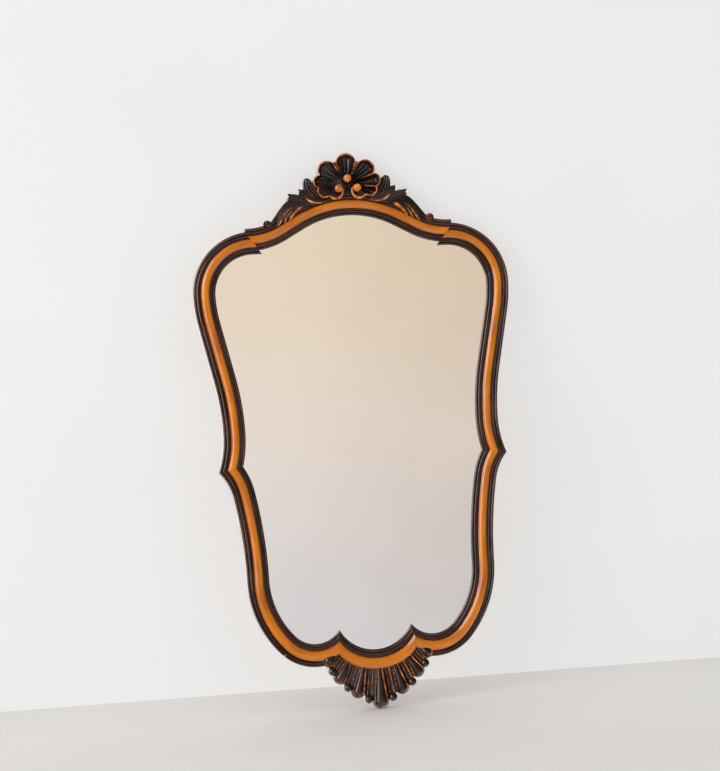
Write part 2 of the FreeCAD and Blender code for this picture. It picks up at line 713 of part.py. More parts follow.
def make_dowels():
    pins = []
    half = size("dowel_length") / 2
    for side in (-1, 1):
        for number, joint in enumerate(DOWEL_JOINTS):
            spot, across = joint_spot(joint)
            start = (side * (spot[0] - half * across[0]), spot[1] - half * across[1])
            pins.append(dowel(side_name(side, "dowel_%d" % number), start, (side * across[0], across[1])))
    group("frame_dowels", pins)
    crest = [dowel("crest_pin_%d" % n, spot, (0.0, 1.0)) for n, spot in enumerate(crest_dowel_spots())]
    group("crest_dowels", crest)
    fan = [dowel("fan_pin_%d" % n, spot, (0.0, -1.0)) for n, spot in enumerate(fan_dowel_spots())]
    group("fan_dowels", fan)


make_dowels()


# Glass and backing board share one outline inside the rabbets.


def pane_outline():
    clear = size("glass_clearance")
    inner = (STEP_POINT[0] - clear * STEP_DIRECTION[1], STEP_POINT[1] + clear * STEP_DIRECTION[0])
    rail_number, rail_point = line_meet(RAIL_PATH, GLASS_REACH, inner, STEP_DIRECTION)
    stile_number, stile_point = line_meet(UPPER_PATH, GLASS_REACH, inner, STEP_DIRECTION)
    side_corner = circles_meet(waist_bend, LOWER_PATH[0], GLASS_REACH, SIDE_CUSP)
    low_corner = circles_meet(FOOT, SCALLOP_PATH[0], GLASS_REACH, LOWER_CUSP)
    right = stretch(RAIL_PATH[: rail_number + 1], GLASS_REACH, last=rail_point)
    right.append((rail_point, None, stile_point))
    right += stretch(UPPER_PATH[stile_number:], GLASS_REACH, first=stile_point, last=side_corner)
    right += stretch(LOWER_PATH, GLASS_REACH, first=side_corner, last=low_corner)
    right += stretch(SCALLOP_PATH, GLASS_REACH, first=low_corner)
    return right + mirrored(right)


def make_pane(label, depth_rule, thickness):
    body = new_body(label)
    outline = sketch_on(body, "outline")
    outline.setExpression("AttachmentOffset.Base.z", depth_rule)
    draw(outline, pane_outline())
    pad(body, "sheet", outline, thickness)
    return keep(body)


make_pane("mirror_glass", "Sizes.ledge_depth + Sizes.board_thickness", "Sizes.glass_thickness")
make_pane("backing_board", "Sizes.ledge_depth", "Sizes.board_thickness")


# Carvings. Each one sits on the rim bead and against the outer side of the moulding behind it.


def below_path(path, reach):
    """Everything below an offset of the rail's path, as a closed outline across the axis."""
    right = stretch(path, reach)
    ends = (right[-1][2], (-right[-1][2][0], right[-1][2][1]))
    floor = min(ends[0][1], CROWN_HEIGHT) - END_RUN
    corners = [ends[0], (ends[0][0], floor), (ends[1][0], floor), ends[1]]
    closing = [(corners[n], None, corners[n + 1]) for n in range(3)]
    return mirrored(right) + right + closing


def seat_on_rail(body):
    """Clear the rail out of a carving: its rim up to the seat, and its torus all the way through."""
    for name, reach, rule in (("rail_seat", SEAT_WIDTH, "Sizes.rim_height + Sizes.glue_line + Sizes.base_height"),
                              ("torus_edge", TORUS_EDGE, "2 * Sizes.shell_depth")):
        waste = sketch_on(body, name + "_line", depth=-size("base_height"))
        draw(waste, below_path(RAIL_PATH, reach))
        doc.recompute()
        cut = body.newObject("PartDesign::Pocket", name)
        cut.Profile = waste
        cut.Reversed = True
        cut.setExpression("Length", rule)
        doc.recompute()


SHELL_HEART = (0.0, CROWN_HEIGHT + size("shell_rise"))


def lobe_centre(name):
    angle = math.radians(size(name + "_angle"))
    reach = size(name + "_reach")
    return (SHELL_HEART[0] + reach * math.sin(angle), SHELL_HEART[1] + reach * math.cos(angle))


def shell_outline():
    """Outer arcs of the ring of lobes, clockwise, each between its crossings with its neighbours."""
    right = [(lobe_centre(lobe.name), size(lobe.name + "_radius")) for lobe in SHELL_LOBES]
    left = [((-centre[0], centre[1]), radius) for centre, radius in reversed(right[1:-1])]
    ring = right + left
    triples = []
    for number, (centre, radius) in enumerate(ring):
        previous = ring[number - 1]
        following = ring[(number + 1) % len(ring)]
        outward = (centre[0] - SHELL_HEART[0], centre[1] - SHELL_HEART[1])
        far = (centre[0] + 4 * outward[0], centre[1] + 4 * outward[1])
        start = round_meet(previous[0], previous[1], centre, radius, far)
        end = round_meet(centre, radius, following[0], following[1], far)
        first = math.atan2(start[1] - centre[1], start[0] - centre[0])
        last = math.atan2(end[1] - centre[1], end[0] - centre[0])
        sweep = (first - last) % (2 * math.pi)
        triples.append((start, polar(centre, radius, first - sweep / 2), end))
    return triples


def scoop_profile(reach, radius):
    """Half of a teardrop on its axis: pointed at the heart, round at the lobe."""
    root = size("scoop_root")
    start = root + size("pearl_radius")
    tip = math.radians(45.0)
    swell = (radius * math.cos(tip), reach + radius * math.sin(tip))
    return [
        ((0.0, start), None, (root, start)),
        ((root, start), None, (radius, reach)),
        ((radius, reach), swell, (0.0, reach + radius)),
        ((0.0, reach + radius), None, (0.0, start)),
    ]


PEARLS = {
    "top_pearl": (0.0, 7.0),
    "left_pearl": (-13.5, -7.0),
    "right_pearl": (13.5, -7.0),
}


def pearl_spot(name):
    return (SHELL_HEART[0] + PEARLS[name][0], SHELL_HEART[1] + PEARLS[name][1])


HANGER_AXIS = SHELL_HEART[1] + size("hanger_rise")


def make_shell():
    body = new_body("crest_shell")
    outline = sketch_on(body, "outline")
    draw(outline, shell_outline())
    pad(body, "block", outline, "Sizes.shell_depth")
    seat_on_rail(body)
    for lobe in SHELL_LOBES:
        for side in (1, -1):
            if not lobe.scooped or (side < 0 and size(lobe.name + "_angle") == 0.0):
                continue
            scoop = sketch_on(
                body,
                side_name(side, lobe.name + "_scoop"),
                at=SHELL_HEART,
                depth=size("shell_depth") + size("scoop_lift"),
                turn=-side * size(lobe.name + "_angle"),
            )
            draw(scoop, scoop_profile(size(lobe.name + "_reach"), size(lobe.name + "_radius") - size("scoop_rim")))
            doc.recompute()
            groove = body.newObject("PartDesign::Groove", side_name(side, lobe.name + "_flute"))
            groove.Profile = scoop
            groove.ReferenceAxis = (scoop, ["V_Axis"])
            groove.Angle = 360.0
            doc.recompute()
    for name in PEARLS:
        spot = pearl_spot(name)
        bore(body, name + "_seat", spot, size("pearl_seat"), "Sizes.pearl_radius + Sizes.glue_line",
             "Sizes.shell_depth")
        bore(body, name + "_peg", spot, size("pearl_seat") - size("peg_length") - size("glue_line"),
             "Sizes.peg_radius + Sizes.glue_line", "Sizes.peg_length + Sizes.shell_depth")
    half = max(size("ring_radius") + size("ring_wire"), size("plate_width") / 2) + size("recess_margin")
    low = HANGER_AXIS - 2 * size("ring_radius") - size("ring_wire") - size("recess_margin")
    high = HANGER_AXIS + 2 * size("ring_radius") + size("ring_wire") + size("recess_margin")
    recess = sketch_on(body, "hanger_recess_line", depth=-size("base_height"))
    draw(recess, polygon([(-half, low), (half, low), (half, high), (-half, high)]))
    pocket(body, "hanger_recess", recess, "Sizes.recess_depth + Sizes.base_height")
    for number, alias in enumerate(("hanger_screw_near", "hanger_screw_far"), start=1):
        bore(body, "hanger_pilot_%d" % number, (0.0, HANGER_AXIS + size(alias)), size("recess_depth"),
             "Sizes.hanger_screw_radius", "Sizes.hanger_screw_length")
    upright_holes(body, "crest_dowel", crest_dowel_spots(), 1.0)
    return keep(body)


def make_pearl(name):
    """A turned bead with a flat back and a peg, on its own axis towards the front."""
    body = new_body(name)
    spot = pearl_spot(name)
    radius = size("pearl_radius")
    seat = size("pearl_seat")
    middle = size("pearl_centre")
    flat = math.sqrt(radius ** 2 - (middle - seat) ** 2)
    section = sketch_on(body, "section", plane="XY_Plane", at=(spot[0], 0.0), depth=spot[1])
    peg = size("peg_radius")
    back = seat - size("peg_length")
    triples = [
        ((0.0, -back), None, (peg, -back)),
        ((peg, -back), None, (peg, -seat)),
        ((peg, -seat), None, (flat, -seat)),
        ((flat, -seat), (radius, -middle), (0.0, -middle - radius)),
        ((0.0, -middle - radius), None, (0.0, -back)),
    ]
    draw(section, triples)
    doc.recompute()
    turned = body.newObject("PartDesign::Revolution", "turned")
    turned.Profile = section
    turned.ReferenceAxis = (section, ["V_Axis"])
    turned.Angle = 360.0
    doc.recompute()
    return keep(body)


make_shell()
for pearl in PEARLS:
    make_pearl(pearl)


# Leaf sprays. Corners are (x, height over the crown, bulge of the edge to the next corner); a
# bulge is the arc's height over half its chord, positive to the left of the walk. The upright
# leaf and the trailing one meet along the split.
LEAF_SPLIT = ((36.0, 20.0), (83.0, 22.0), 0.18)
LEAF_CORNERS = [
    (*LEAF_SPLIT[0], 0.10),
    (44.0, 44.0, 0.15),
    (56.5, 55.5, 0.30),
    (65.5, 39.0, -0.10),
    (70.5, 41.5, 0.30),
    (73.5, 33.5, -0.15),
    (86.0, 34.0, -0.10),
    (*LEAF_SPLIT[1], -LEAF_SPLIT[2]),
]
LEAF_RIBS = [
    ((50.0, 26.0), (56.5, 50.0), 0.20),
    ((57.0, 27.0), (67.5, 36.5), 0.25),
    ((64.0, 26.5), (81.0, 31.5), 0.25),
]
SCROLL_CENTRE = (118.5, -9.5)
SCROLL_CORNERS = [
    (LEAF_SPLIT[0][0], LEAF_SPLIT[0][1] - size("glue_line"), LEAF_SPLIT[2]),
    (LEAF_SPLIT[1][0], LEAF_SPLIT[1][1] - size("glue_line"), 0.16),
    (112.0, -4.5, 0.0),
    (117.0, -14.5, 0.0),
    (110.5, -13.5, 0.25),
    (103.5, -12.5, -0.20),
    (95.0, -1.5, 0.20),
    (88.0, -4.5, -0.12),
    (68.0, 13.0, -0.06),
]
SCROLL_RIBS = [
    ((62.0, 18.5), (88.5, -1.0), 0.20),
    ((71.0, 19.0), (103.0, -9.0), 0.20),
    ((81.0, 18.5), (112.0, -8.0), 0.16),
]


def bulge_middle(start, end, bulge):
    dx = end[0] - start[0]
    dz = end[1] - start[1]
    return ((start[0] + end[0]) / 2 - bulge * dz / 2, (start[1] + end[1]) / 2 + bulge * dx / 2)


def bulged_outline(corners, side):
    triples = []
    for number, (x, rise, bulge) in enumerate(corners):
        following = corners[(number + 1) % len(corners)]
        start = (x, CROWN_HEIGHT + rise)
        end = (following[0], CROWN_HEIGHT + following[1])
        middle = bulge_middle(start, end, bulge) if bulge else None
        triples.append((start, middle, end))
    return flip_side(triples, side)


def raise_rib(body, name, rib, side):
    """A raised rib: a stretch of ring along an arc on the leaf's face."""
    (x1, rise1), (x2, rise2), bulge = rib
    start = (side * x1, CROWN_HEIGHT + rise1)
    end = (side * x2, CROWN_HEIGHT + rise2)
    middle = bulge_middle(start, end, side * bulge)
    arc = Part.Arc(Vector(*start, 0), Vector(*middle, 0), Vector(*end, 0))
    ring = arc.toShape().Curve
    first = math.atan2(start[1] - ring.Center.y, start[0] - ring.Center.x)
    last = math.atan2(end[1] - ring.Center.y, end[0] - ring.Center.x)
    begin, sweep = (first, (last - first) % (2 * math.pi))
    if sweep > math.pi:
        begin, sweep = (last, (first - last) % (2 * math.pi))
    bead = body.newObject("PartDesign::AdditiveTorus", name)
    own_plane = [item for item in body.Origin.OriginFeatures if item.Role == "XZ_Plane"][0]
    bead.AttachmentSupport = [(own_plane, "")]
    bead.MapMode = "FlatFace"
    at = Vector(ring.Center.x, ring.Center.y, size("leaf_depth"))
    bead.AttachmentOffset = Placement(at, Rotation(Vector(0, 0, 1), math.degrees(begin)))
    bead.Radius1 = ring.Radius
    bead.setExpression("Radius2", "Sizes.leaf_rib")
    bead.Angle3 = math.degrees(sweep)
    doc.recompute()


def make_leaf(side):
    body = new_body(side_name(side, "acanthus_leaf"))
    outline = sketch_on(body, "outline")
    outline.setExpression("AttachmentOffset.Base.z", "Sizes.leaf_back")
    draw(outline, bulged_outline(LEAF_CORNERS, side))
    pad(body, "blade", outline, "Sizes.leaf_depth - Sizes.leaf_back")
    for number, rib in enumerate(LEAF_RIBS, start=1):
        raise_rib(body, "rib_%d" % number, rib, side)
    seat_on_rail(body)
    for name in ("middle_lobe", "lower_lobe"):
        centre = lobe_centre(name)
        waste = sketch_on(body, name + "_line", depth=-size("base_height"))
        reach = size(name + "_radius") + size("glue_line")
        waste.addGeometry(Part.Circle(Vector(side * centre[0], centre[1], 0), Vector(0, 0, 1), reach))
        pocket(body, name + "_seat", waste, "2 * Sizes.shell_depth")
    return keep(body)


def make_scroll(side):
    body = new_body(side_name(side, "leaf_scroll"))
    outline = sketch_on(body, "outline")
    outline.setExpression("AttachmentOffset.Base.z", "Sizes.leaf_back")
    draw(outline, bulged_outline(SCROLL_CORNERS, side))
    pad(body, "blade", outline, "Sizes.leaf_depth - Sizes.leaf_back")
    curl = sketch_on(body, "curl_line")
    curl.setExpression("AttachmentOffset.Base.z", "Sizes.leaf_back")
    circle_in(curl, (side * SCROLL_CENTRE[0], CROWN_HEIGHT + SCROLL_CENTRE[1]), "scroll_radius")
    pad(body, "curl", curl, "Sizes.scroll_depth - Sizes.leaf_back")
    for number, rib in enumerate(SCROLL_RIBS, start=1):
        raise_rib(body, "rib_%d" % number, rib, side)
    seat_on_rail(body)
    return keep(body)


for leaf_side in (-1, 1):
    make_leaf(leaf_side)
    make_scroll(leaf_side)


# Fan at the foot: gadroons and bead-ended lobes that radiate from the scallop's centre.
LOBE_STEPS = 6


def lobe_reach(step):
    return size("fan_reach") - size("fan_fall") * abs(step) + (size("fan_tip") if step == 0 else 0.0)


def gadroon_section(step):
    root = SCALLOP_RADIUS + TORUS_EDGE
    end = lobe_reach(step)
    radius = size("gadroon_radius")
    quarter = math.radians(45.0)
    middle = end - radius
    return [
        ((0.0, root), None, (size("gadroon_root"), root)),
        ((size("gadroon_root"), root), None, (radius, middle)),
        ((radius, middle), (radius * math.cos(quarter), middle + radius * math.sin(quarter)), (0.0, end)),
        ((0.0, end), None, (0.0, root)),
    ]


def bobbin_section(step):
    root = SCALLOP_RADIUS + TORUS_EDGE
    end = lobe_reach(step)
    radius = size("bobbin_radius")
    neck = size("bobbin_neck")
    middle = end - radius
    joint = middle - math.sqrt(radius ** 2 - neck ** 2)
    return [
        ((0.0, root), None, (size("bobbin_root"), root)),
        ((size("bobbin_root"), root), None, (neck, joint)),
        ((neck, joint), (radius, middle), (0.0, end)),
        ((0.0, end), None, (0.0, root)),
    ]


def fan_plate_outline():
    """Ground of the fan: an arc along the moulding, and the ends of the lobes' axes."""
    root = SCALLOP_RADIUS + TORUS_EDGE
    tips = []
    for step in range(-LOBE_STEPS, LOBE_STEPS + 1):
        angle = math.radians(step * size("fan_pitch")) - math.pi / 2
        narrow = size("gadroon_radius") if step % 2 == 0 else size("bobbin_radius")
        tips.append(polar(SCALLOP_CENTRE, lobe_reach(step) - narrow, angle))
    spread = math.radians(LOBE_STEPS * size("fan_pitch"))
    first = polar(SCALLOP_CENTRE, root, -math.pi / 2 - spread)
    last = polar(SCALLOP_CENTRE, root, -math.pi / 2 + spread)
    middle = polar(SCALLOP_CENTRE, root, -math.pi / 2)
    edge = [(tips[n], None, tips[n + 1]) for n in range(len(tips) - 1)]
    return [(first, None, tips[0])] + edge + [(tips[-1], None, last), (last, middle, first)]


def make_fan():
    body = new_body("bottom_fan")
    ground = sketch_on(body, "ground_line")
    ground.setExpression("AttachmentOffset.Base.z", "Sizes.fan_back")
    draw(ground, fan_plate_outline())
    pad(body, "ground", ground, "Sizes.fan_ground - Sizes.fan_back")
    for step in range(-LOBE_STEPS, LOBE_STEPS + 1):
        kind = gadroon_section if step % 2 == 0 else bobbin_section
        section = sketch_on(
            body,
            "lobe_line_%d" % (step + LOBE_STEPS),
            at=SCALLOP_CENTRE,
            depth=size("fan_axis_depth"),
            turn=180.0 + step * size("fan_pitch"),
        )
        draw(section, kind(step))
        doc.recompute()
        lobe_feature = body.newObject("PartDesign::Revolution", "lobe_%d" % (step + LOBE_STEPS))
        lobe_feature.Profile = section
        lobe_feature.ReferenceAxis = (section, ["V_Axis"])
        lobe_feature.Angle = 360.0
        doc.recompute()
    rounds = [("scallop", SCALLOP_CENTRE, SCALLOP_RADIUS)]
    for side in (-1, 1):
        rounds.append((side_name(side, "foot"), (side * FOOT.centre[0], FOOT.centre[1]), FOOT.radius))
    for name, centre, radius in rounds:
        for part, reach, rule in (("seat", SEAT_WIDTH, "Sizes.rim_height + Sizes.glue_line + Sizes.base_height"),
                                  ("edge", TORUS_EDGE, "2 * Sizes.shell_depth")):
            waste = sketch_on(body, "%s_%s_line" % (name, part), depth=-size("base_height"))
            waste.addGeometry(Part.Circle(Vector(*centre, 0), Vector(0, 0, 1), radius + reach))
            doc.recompute()
            cut = body.newObject("PartDesign::Pocket", "%s_%s" % (name, part))
            cut.Profile = waste
            cut.Reversed = True
            cut.setExpression("Length", rule)
            doc.recompute()
    upright_holes(body, "fan_dowel", fan_dowel_spots(), -1.0)
    return keep(body)


make_fan()


# Turn buttons on the ledge, each with its screw.


def make_button(name, spot, inward):
    body = new_body(name)
    turn = math.degrees(math.atan2(inward[1], inward[0]))
    outline = sketch_on(body, "outline", at=spot, turn=turn)
    rule = "Sizes.ledge_depth - Sizes.button_gap - Sizes.button_thickness"
    outline.setExpression("AttachmentOffset.Base.z", rule)
    half = size("button_half_width")
    tip = size("button_reach")
    straight = tip - half
    draw(outline, [
        ((0.0, half), (-half, 0.0), (0.0, -half)),
        ((0.0, -half), None, (straight, -half)),
        ((straight, -half), (tip, 0.0), (straight, half)),
        ((straight, half), None, (0.0, half)),
    ])
    hole = size("screw_radius") + size("screw_clearance")
    outline.addGeometry(Part.Circle(Vector(0, 0, 0), Vector(0, 0, 1), hole))
    pad(body, "blade", outline, "Sizes.button_thickness")
    return keep(body)


def screw(name, spot, wood_depth, head_depth, shank, head, thickness, length):
    """A screw driven towards the front: a head behind what it holds, and a shank into the wood."""
    aim = Rotation(Vector(0, 0, 1), Vector(0, -1, 0))
    stem = doc.addObject("Part::Cylinder", name + "_shank")
    stem.setExpression("Radius", "Sizes." + shank)
    stem.Height = wood_depth + size(length) - head_depth
    stem.Placement = Placement(Vector(spot[0], -head_depth, spot[1]), aim)
    cap = doc.addObject("Part::Cone", name + "_head")
    cap.setExpression("Radius1", "0.7 * Sizes." + head)
    cap.setExpression("Radius2", "Sizes." + head)
    cap.setExpression("Height", "Sizes." + thickness)
    cap.Placement = Placement(Vector(spot[0], size(thickness) - head_depth, spot[1]), aim)
    whole = doc.addObject("Part::Fuse", name)
    whole.Base = cap
    whole.Tool = stem
    doc.recompute()
    return whole


button_screws = []
for button_name, button_spot, button_inward in BUTTONS:
    make_button(button_name, button_spot, button_inward)
    under_head = size("ledge_depth") - size("button_gap") - size("button_thickness") - size("screw_clearance")
    button_screws.append(screw(button_name + "_screw", button_spot, size("ledge_depth"), under_head,
                               "screw_radius", "head_radius", "head_thickness", "screw_length"))
group("button_screws", button_screws)


# Hanger in the recess behind the shell: a plate with an eye, a ring and two screws.


def make_hanger_plate():
    body = new_body("hanger_plate")
    outline = sketch_on(body, "outline")
    outline.setExpression("AttachmentOffset.Base.z", "Sizes.recess_depth - Sizes.plate_thickness")
    half = size("plate_width") / 2
    top = HANGER_AXIS + size("plate_length")
    draw(outline, [
        ((-half, HANGER_AXIS), None, (half, HANGER_AXIS)),
        ((half, HANGER_AXIS), None, (half, top - half)),
        ((half, top - half), (0.0, top), (-half, top - half)),
        ((-half, top - half), None, (-half, HANGER_AXIS)),
    ])
    hole = size("hanger_screw_radius") + size("dowel_clearance")
    for alias in ("hanger_screw_near", "hanger_screw_far"):
        outline.addGeometry(Part.Circle(Vector(0, HANGER_AXIS + size(alias), 0), Vector(0, 0, 1), hole))
    pad(body, "strap", outline, "Sizes.plate_thickness")
    eye_line = sketch_on(body, "eye_line", plane="YZ_Plane", depth=-size("eye_length") / 2)
    circle_in(eye_line, (-size("hanger_axis_depth"), HANGER_AXIS), "eye_radius")
    pad(body, "eye", eye_line, "Sizes.eye_length")
    bore_line = sketch_on(body, "bore_line", plane="YZ_Plane", depth=-size("eye_length"))
    circle_in(bore_line, (-size("hanger_axis_depth"), HANGER_AXIS), "eye_bore")
    pocket(body, "eye_bore", bore_line, "2 * Sizes.eye_length")
    return keep(body)


def make_hanger_ring():
    ring = doc.addObject("Part::Torus", "hanger_ring")
    ring.Label = "hanger_ring"
    ring.setExpression("Radius1", "Sizes.ring_radius")
    ring.setExpression("Radius2", "Sizes.ring_wire")
    middle = Vector(0, -size("hanger_axis_depth"), HANGER_AXIS - size("ring_radius"))
    ring.Placement = Placement(middle, Rotation(Vector(0, 0, 1), Vector(0, -1, 0)))
    return keep(ring)


make_hanger_plate()
make_hanger_ring()
hanger_screws = []
for number, alias in enumerate(("hanger_screw_near", "hanger_screw_far"), start=1):
    hanger_screws.append(screw("hanger_screw_%d" % number, (0.0, HANGER_AXIS + size(alias)), size("recess_depth"),
                               size("recess_depth") - size("plate_thickness"), "hanger_screw_radius",
                               "hanger_head_radius", "hanger_head_thickness", "hanger_screw_length"))
group("hanger_screws", hanger_screws)

doc.recompute()
for item in doc.Objects:
    if "Invalid" in item.State or "Error" in item.State:
        raise ValueError("%s failed to build" % item.Label)
for part in subparts:
    if part.Shape.isNull() or not part.Shape.isValid() or not part.Shape.Solids:
        raise ValueError("%s has no sound shape" % part.Label)
for part in subparts:
    part.Shape.exportStep(os.path.join(NODE_FOLDER, part.Label + ".step"))
print("nodes", len(subparts), "solids", sum(len(part.Shape.Solids) for part in subparts))
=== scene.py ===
import math

import bpy
import numpy as np
from mathutils import Matrix, Vector


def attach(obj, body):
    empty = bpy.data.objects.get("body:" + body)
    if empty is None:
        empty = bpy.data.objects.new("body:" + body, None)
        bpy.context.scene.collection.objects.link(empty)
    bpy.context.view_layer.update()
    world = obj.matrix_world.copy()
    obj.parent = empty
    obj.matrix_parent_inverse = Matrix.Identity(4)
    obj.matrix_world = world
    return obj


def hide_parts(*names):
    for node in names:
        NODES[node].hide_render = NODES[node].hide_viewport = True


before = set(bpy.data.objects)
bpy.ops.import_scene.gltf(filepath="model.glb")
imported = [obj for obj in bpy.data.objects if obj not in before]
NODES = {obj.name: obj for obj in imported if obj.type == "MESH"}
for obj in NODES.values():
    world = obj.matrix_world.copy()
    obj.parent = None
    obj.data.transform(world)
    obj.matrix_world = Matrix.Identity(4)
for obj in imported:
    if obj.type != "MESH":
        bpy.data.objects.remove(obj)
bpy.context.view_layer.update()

# Scalloped wall mirror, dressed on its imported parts. Shapes are worked out in millimetres and turned
# into metres when a mesh is made; finishes, room and light are in metres. The frame is the parts' own:
# X is the width, +Y points into the wall, Z is up, and a depth d in front of the wall is at y = -d.

MM = 0.001
MIRRORED = np.array([-1.0, 1.0, 1.0])
QUARTER = math.pi / 2

# Sight edge of the frame, as in the parts.
CROWN_HEIGHT = -24.9
CROWN_RADIUS, CROWN_TURN = 135.8, 28.9
RAIL_SLOPE = 28.9
HOLLOW_RADIUS = 116.2
STEP_RISE, STEP_HALF_WIDTH, STEP_ANGLE = 4.5, 139.7, 37.6
STEP_MIDDLE, STEP_SQUARE = 14.8, 25.0
SHOULDER_HALF_WIDTH, SHOULDER_RADIUS = 198.6, 56.3
FLANK_RADIUS, FLANK_TURN, FLANK_RUN = 177.4, 12.0, 83.2
WAIST_UPPER_RADIUS, WAIST_LOWER_RADIUS, WAIST_TURN = 390.0, 178.0, 15.2
CUSP_RADIUS, CUSP_TURN = 107.2, 31.7
BELLY_UPPER_RADIUS, BELLY_TURN = 660.0, 11.1
BELLY_LOWER_RADIUS, BELLY_LOWER_TURN = 126.3, 42.3
FOOT_RADIUS, FOOT_TURN = 40.5, 55.5
SCALLOP_DEPTH, SCALLOP_EXTRA = 32.8, 0.5
END_RUN, CUSP_EXTRA = 65.0, 16.0

# Moulding: widths from the sight edge outwards, and depths in front of the wall.
RABBET_WIDTH, LEDGE_REACH, LEDGE_DEPTH, RABBET_DEPTH = 8.0, 17.0, 3.2, 9.2
BEAD_END, REED_END, TORUS_FIRST, TORUS_LAST = 4.2, 7.0, 9.5, 21.1
QUIRK_END, FILLET_END, FACE_WIDTH, BASE_WIDTH = 23.2, 27.8, 32.2, 32.8
TORUS_SWELL, SCALLOP_SINK, SINK_SPREAD, TORUS_FLARE = 3.0, 2.0, 1.6, 0.3
SIGHT_HEIGHT, REED_HEIGHT, SPRING_HEIGHT, TORUS_HEIGHT = 12.3, 13.4, 14.2, 21.5
FILLET_HEIGHT, RIM_HEIGHT, BASE_HEIGHT = 16.2, 16.8, 1.2
RAIL_ROWS, UPPER_ROWS, LOWER_ROWS, SCALLOP_ROWS = 90, 180, 160, 60
SWELL_START = 0.45
BACK_STEP = 0.15
FRAME_CREASE, CARVED_CREASE = 0.6, 0.9


def ray(angle):
    """Unit vector at an angle from the x axis."""
    return np.array([math.cos(angle), math.sin(angle)])


class SightEdge:
    """A path of straight runs (length,) and bends (radius, turn), read at a distance from its start."""

    def __init__(self, start, heading, moves):
        self.pieces = []
        self.length = 0.0
        here, angle = np.array(start, float), math.radians(heading)
        for move in moves:
            if len(move) == 1:
                length = move[0]
                self.pieces.append(("run", self.length, length, here, angle))
                here = here + length * ray(angle)
            else:
                radius, turn = move[0], math.radians(move[1])
                grows = 1.0 if turn < 0 else -1.0
                centre = here - grows * radius * ray(angle + QUARTER)
                first = math.atan2(here[1] - centre[1], here[0] - centre[0])
                length = radius * abs(turn)
                self.pieces.append(("bend", self.length, length, centre, radius, first, turn, grows))
                here = centre + radius * ray(first + turn)
                angle += turn
            self.length += length
        self.end = here

    def at(self, distance):
        """Points and outward directions at an array of distances."""
        distance = np.asarray(distance, float)
        points = np.zeros(distance.shape + (2,))
        outward = np.zeros(distance.shape + (2,))
        for number, (kind, low, length, place, *shape) in enumerate(self.pieces):
            here = (distance >= low) & (distance <= low + length)
            if number == 0:
                here |= distance < low
            if number == len(self.pieces) - 1:
                here |= distance > low + length
            along = distance[here] - low
            if kind == "run":
                points[here] = place + along[:, None] * ray(shape[0])
                outward[here] = ray(shape[0] + QUARTER)
            else:
                radius, first, turn, grows = shape
                angle = first + turn * along / length
                spoke = np.stack([np.cos(angle), np.sin(angle)], axis=-1)
                points[here] = place + radius * spoke
                outward[here] = grows * spoke
        return points, outward


def crossing(edge, reach, line, low, high):
    """Distance along an edge where its offset by each reach crosses a joint line."""
    point, direction = np.array(line[0]), np.array(line[1])
    normal = np.array([-direction[1], direction[0]])

    def side(distance):
        points, outward = edge.at(distance)
        return np.sign((points + reach[:, None] * outward - point) @ normal)

    near, far = np.full(reach.shape, low), np.full(reach.shape, high)
    first_side = side(near)
    for _ in range(50):
        middle = (near + far) / 2
        before = side(middle) == first_side
        near, far = np.where(before, middle, near), np.where(before, far, middle)
    return (near + far) / 2


def circles_meet(centre_a, radius_a, centre_b, radius_b, near):
    """Crossing of two circles that lies nearest to a point."""
    apart = np.array(centre_b) - np.array(centre_a)
    distance = np.hypot(*apart)
    along = (distance ** 2 + radius_a ** 2 - radius_b ** 2) / (2 * distance)
    aside = math.sqrt(radius_a ** 2 - along ** 2)
    foot = np.array(centre_a) + along * apart / distance
    across = np.array([-apart[1], apart[0]]) / distance
    both = [foot + aside * across, foot - aside * across]
    return min(both, key=lambda p: np.hypot(*(p - near)))


def line_through(first, last):
    reach = np.array(last) - np.array(first)
    return np.array(first), reach / np.hypot(*reach)


RAIL_EDGE = SightEdge((0.0, CROWN_HEIGHT), 0.0, [
    (CROWN_RADIUS, -CROWN_TURN), (RAIL_SLOPE,), (HOLLOW_RADIUS, CROWN_TURN), (END_RUN,),
])
SHOULDER_TOP = RAIL_EDGE.end[1] - STEP_RISE
UPPER_EDGE = SightEdge((SHOULDER_HALF_WIDTH - SHOULDER_RADIUS - END_RUN, SHOULDER_TOP), 0.0, [
    (END_RUN,), (SHOULDER_RADIUS, -90.0), (FLANK_RADIUS, -FLANK_TURN), (FLANK_RUN,),
    (WAIST_UPPER_RADIUS, FLANK_TURN), (WAIST_LOWER_RADIUS, WAIST_TURN + CUSP_EXTRA),
])
_, waist_start, waist_length, WAIST_CENTRE = UPPER_EDGE.pieces[-1][:4]
to_cusp = waist_start + waist_length * WAIST_TURN / (WAIST_TURN + CUSP_EXTRA)
SIDE_CUSP = UPPER_EDGE.at(np.array([to_cusp]))[0][0]
CUSP_CENTRE = SIDE_CUSP + CUSP_RADIUS * ray(-math.radians(CUSP_TURN))
LOWER_EDGE = SightEdge(
    CUSP_CENTRE + CUSP_RADIUS * ray(math.pi - math.radians(CUSP_TURN + CUSP_EXTRA)),
    -90.0 - CUSP_TURN - CUSP_EXTRA,
    [
        (CUSP_RADIUS, CUSP_TURN + CUSP_EXTRA - BELLY_TURN), (BELLY_UPPER_RADIUS, BELLY_TURN),
        (BELLY_LOWER_RADIUS, -BELLY_LOWER_TURN), (FOOT_RADIUS, BELLY_LOWER_TURN - 90.0 - FOOT_TURN),
    ],
)
LOWER_CUSP = LOWER_EDGE.end
FOOT_CENTRE = LOWER_EDGE.pieces[-1][3]
SCALLOP_RADIUS = (LOWER_CUSP[0] ** 2 + SCALLOP_DEPTH ** 2) / (2 * SCALLOP_DEPTH)
SCALLOP_CENTRE = np.array([0.0, LOWER_CUSP[1] - SCALLOP_DEPTH + SCALLOP_RADIUS])
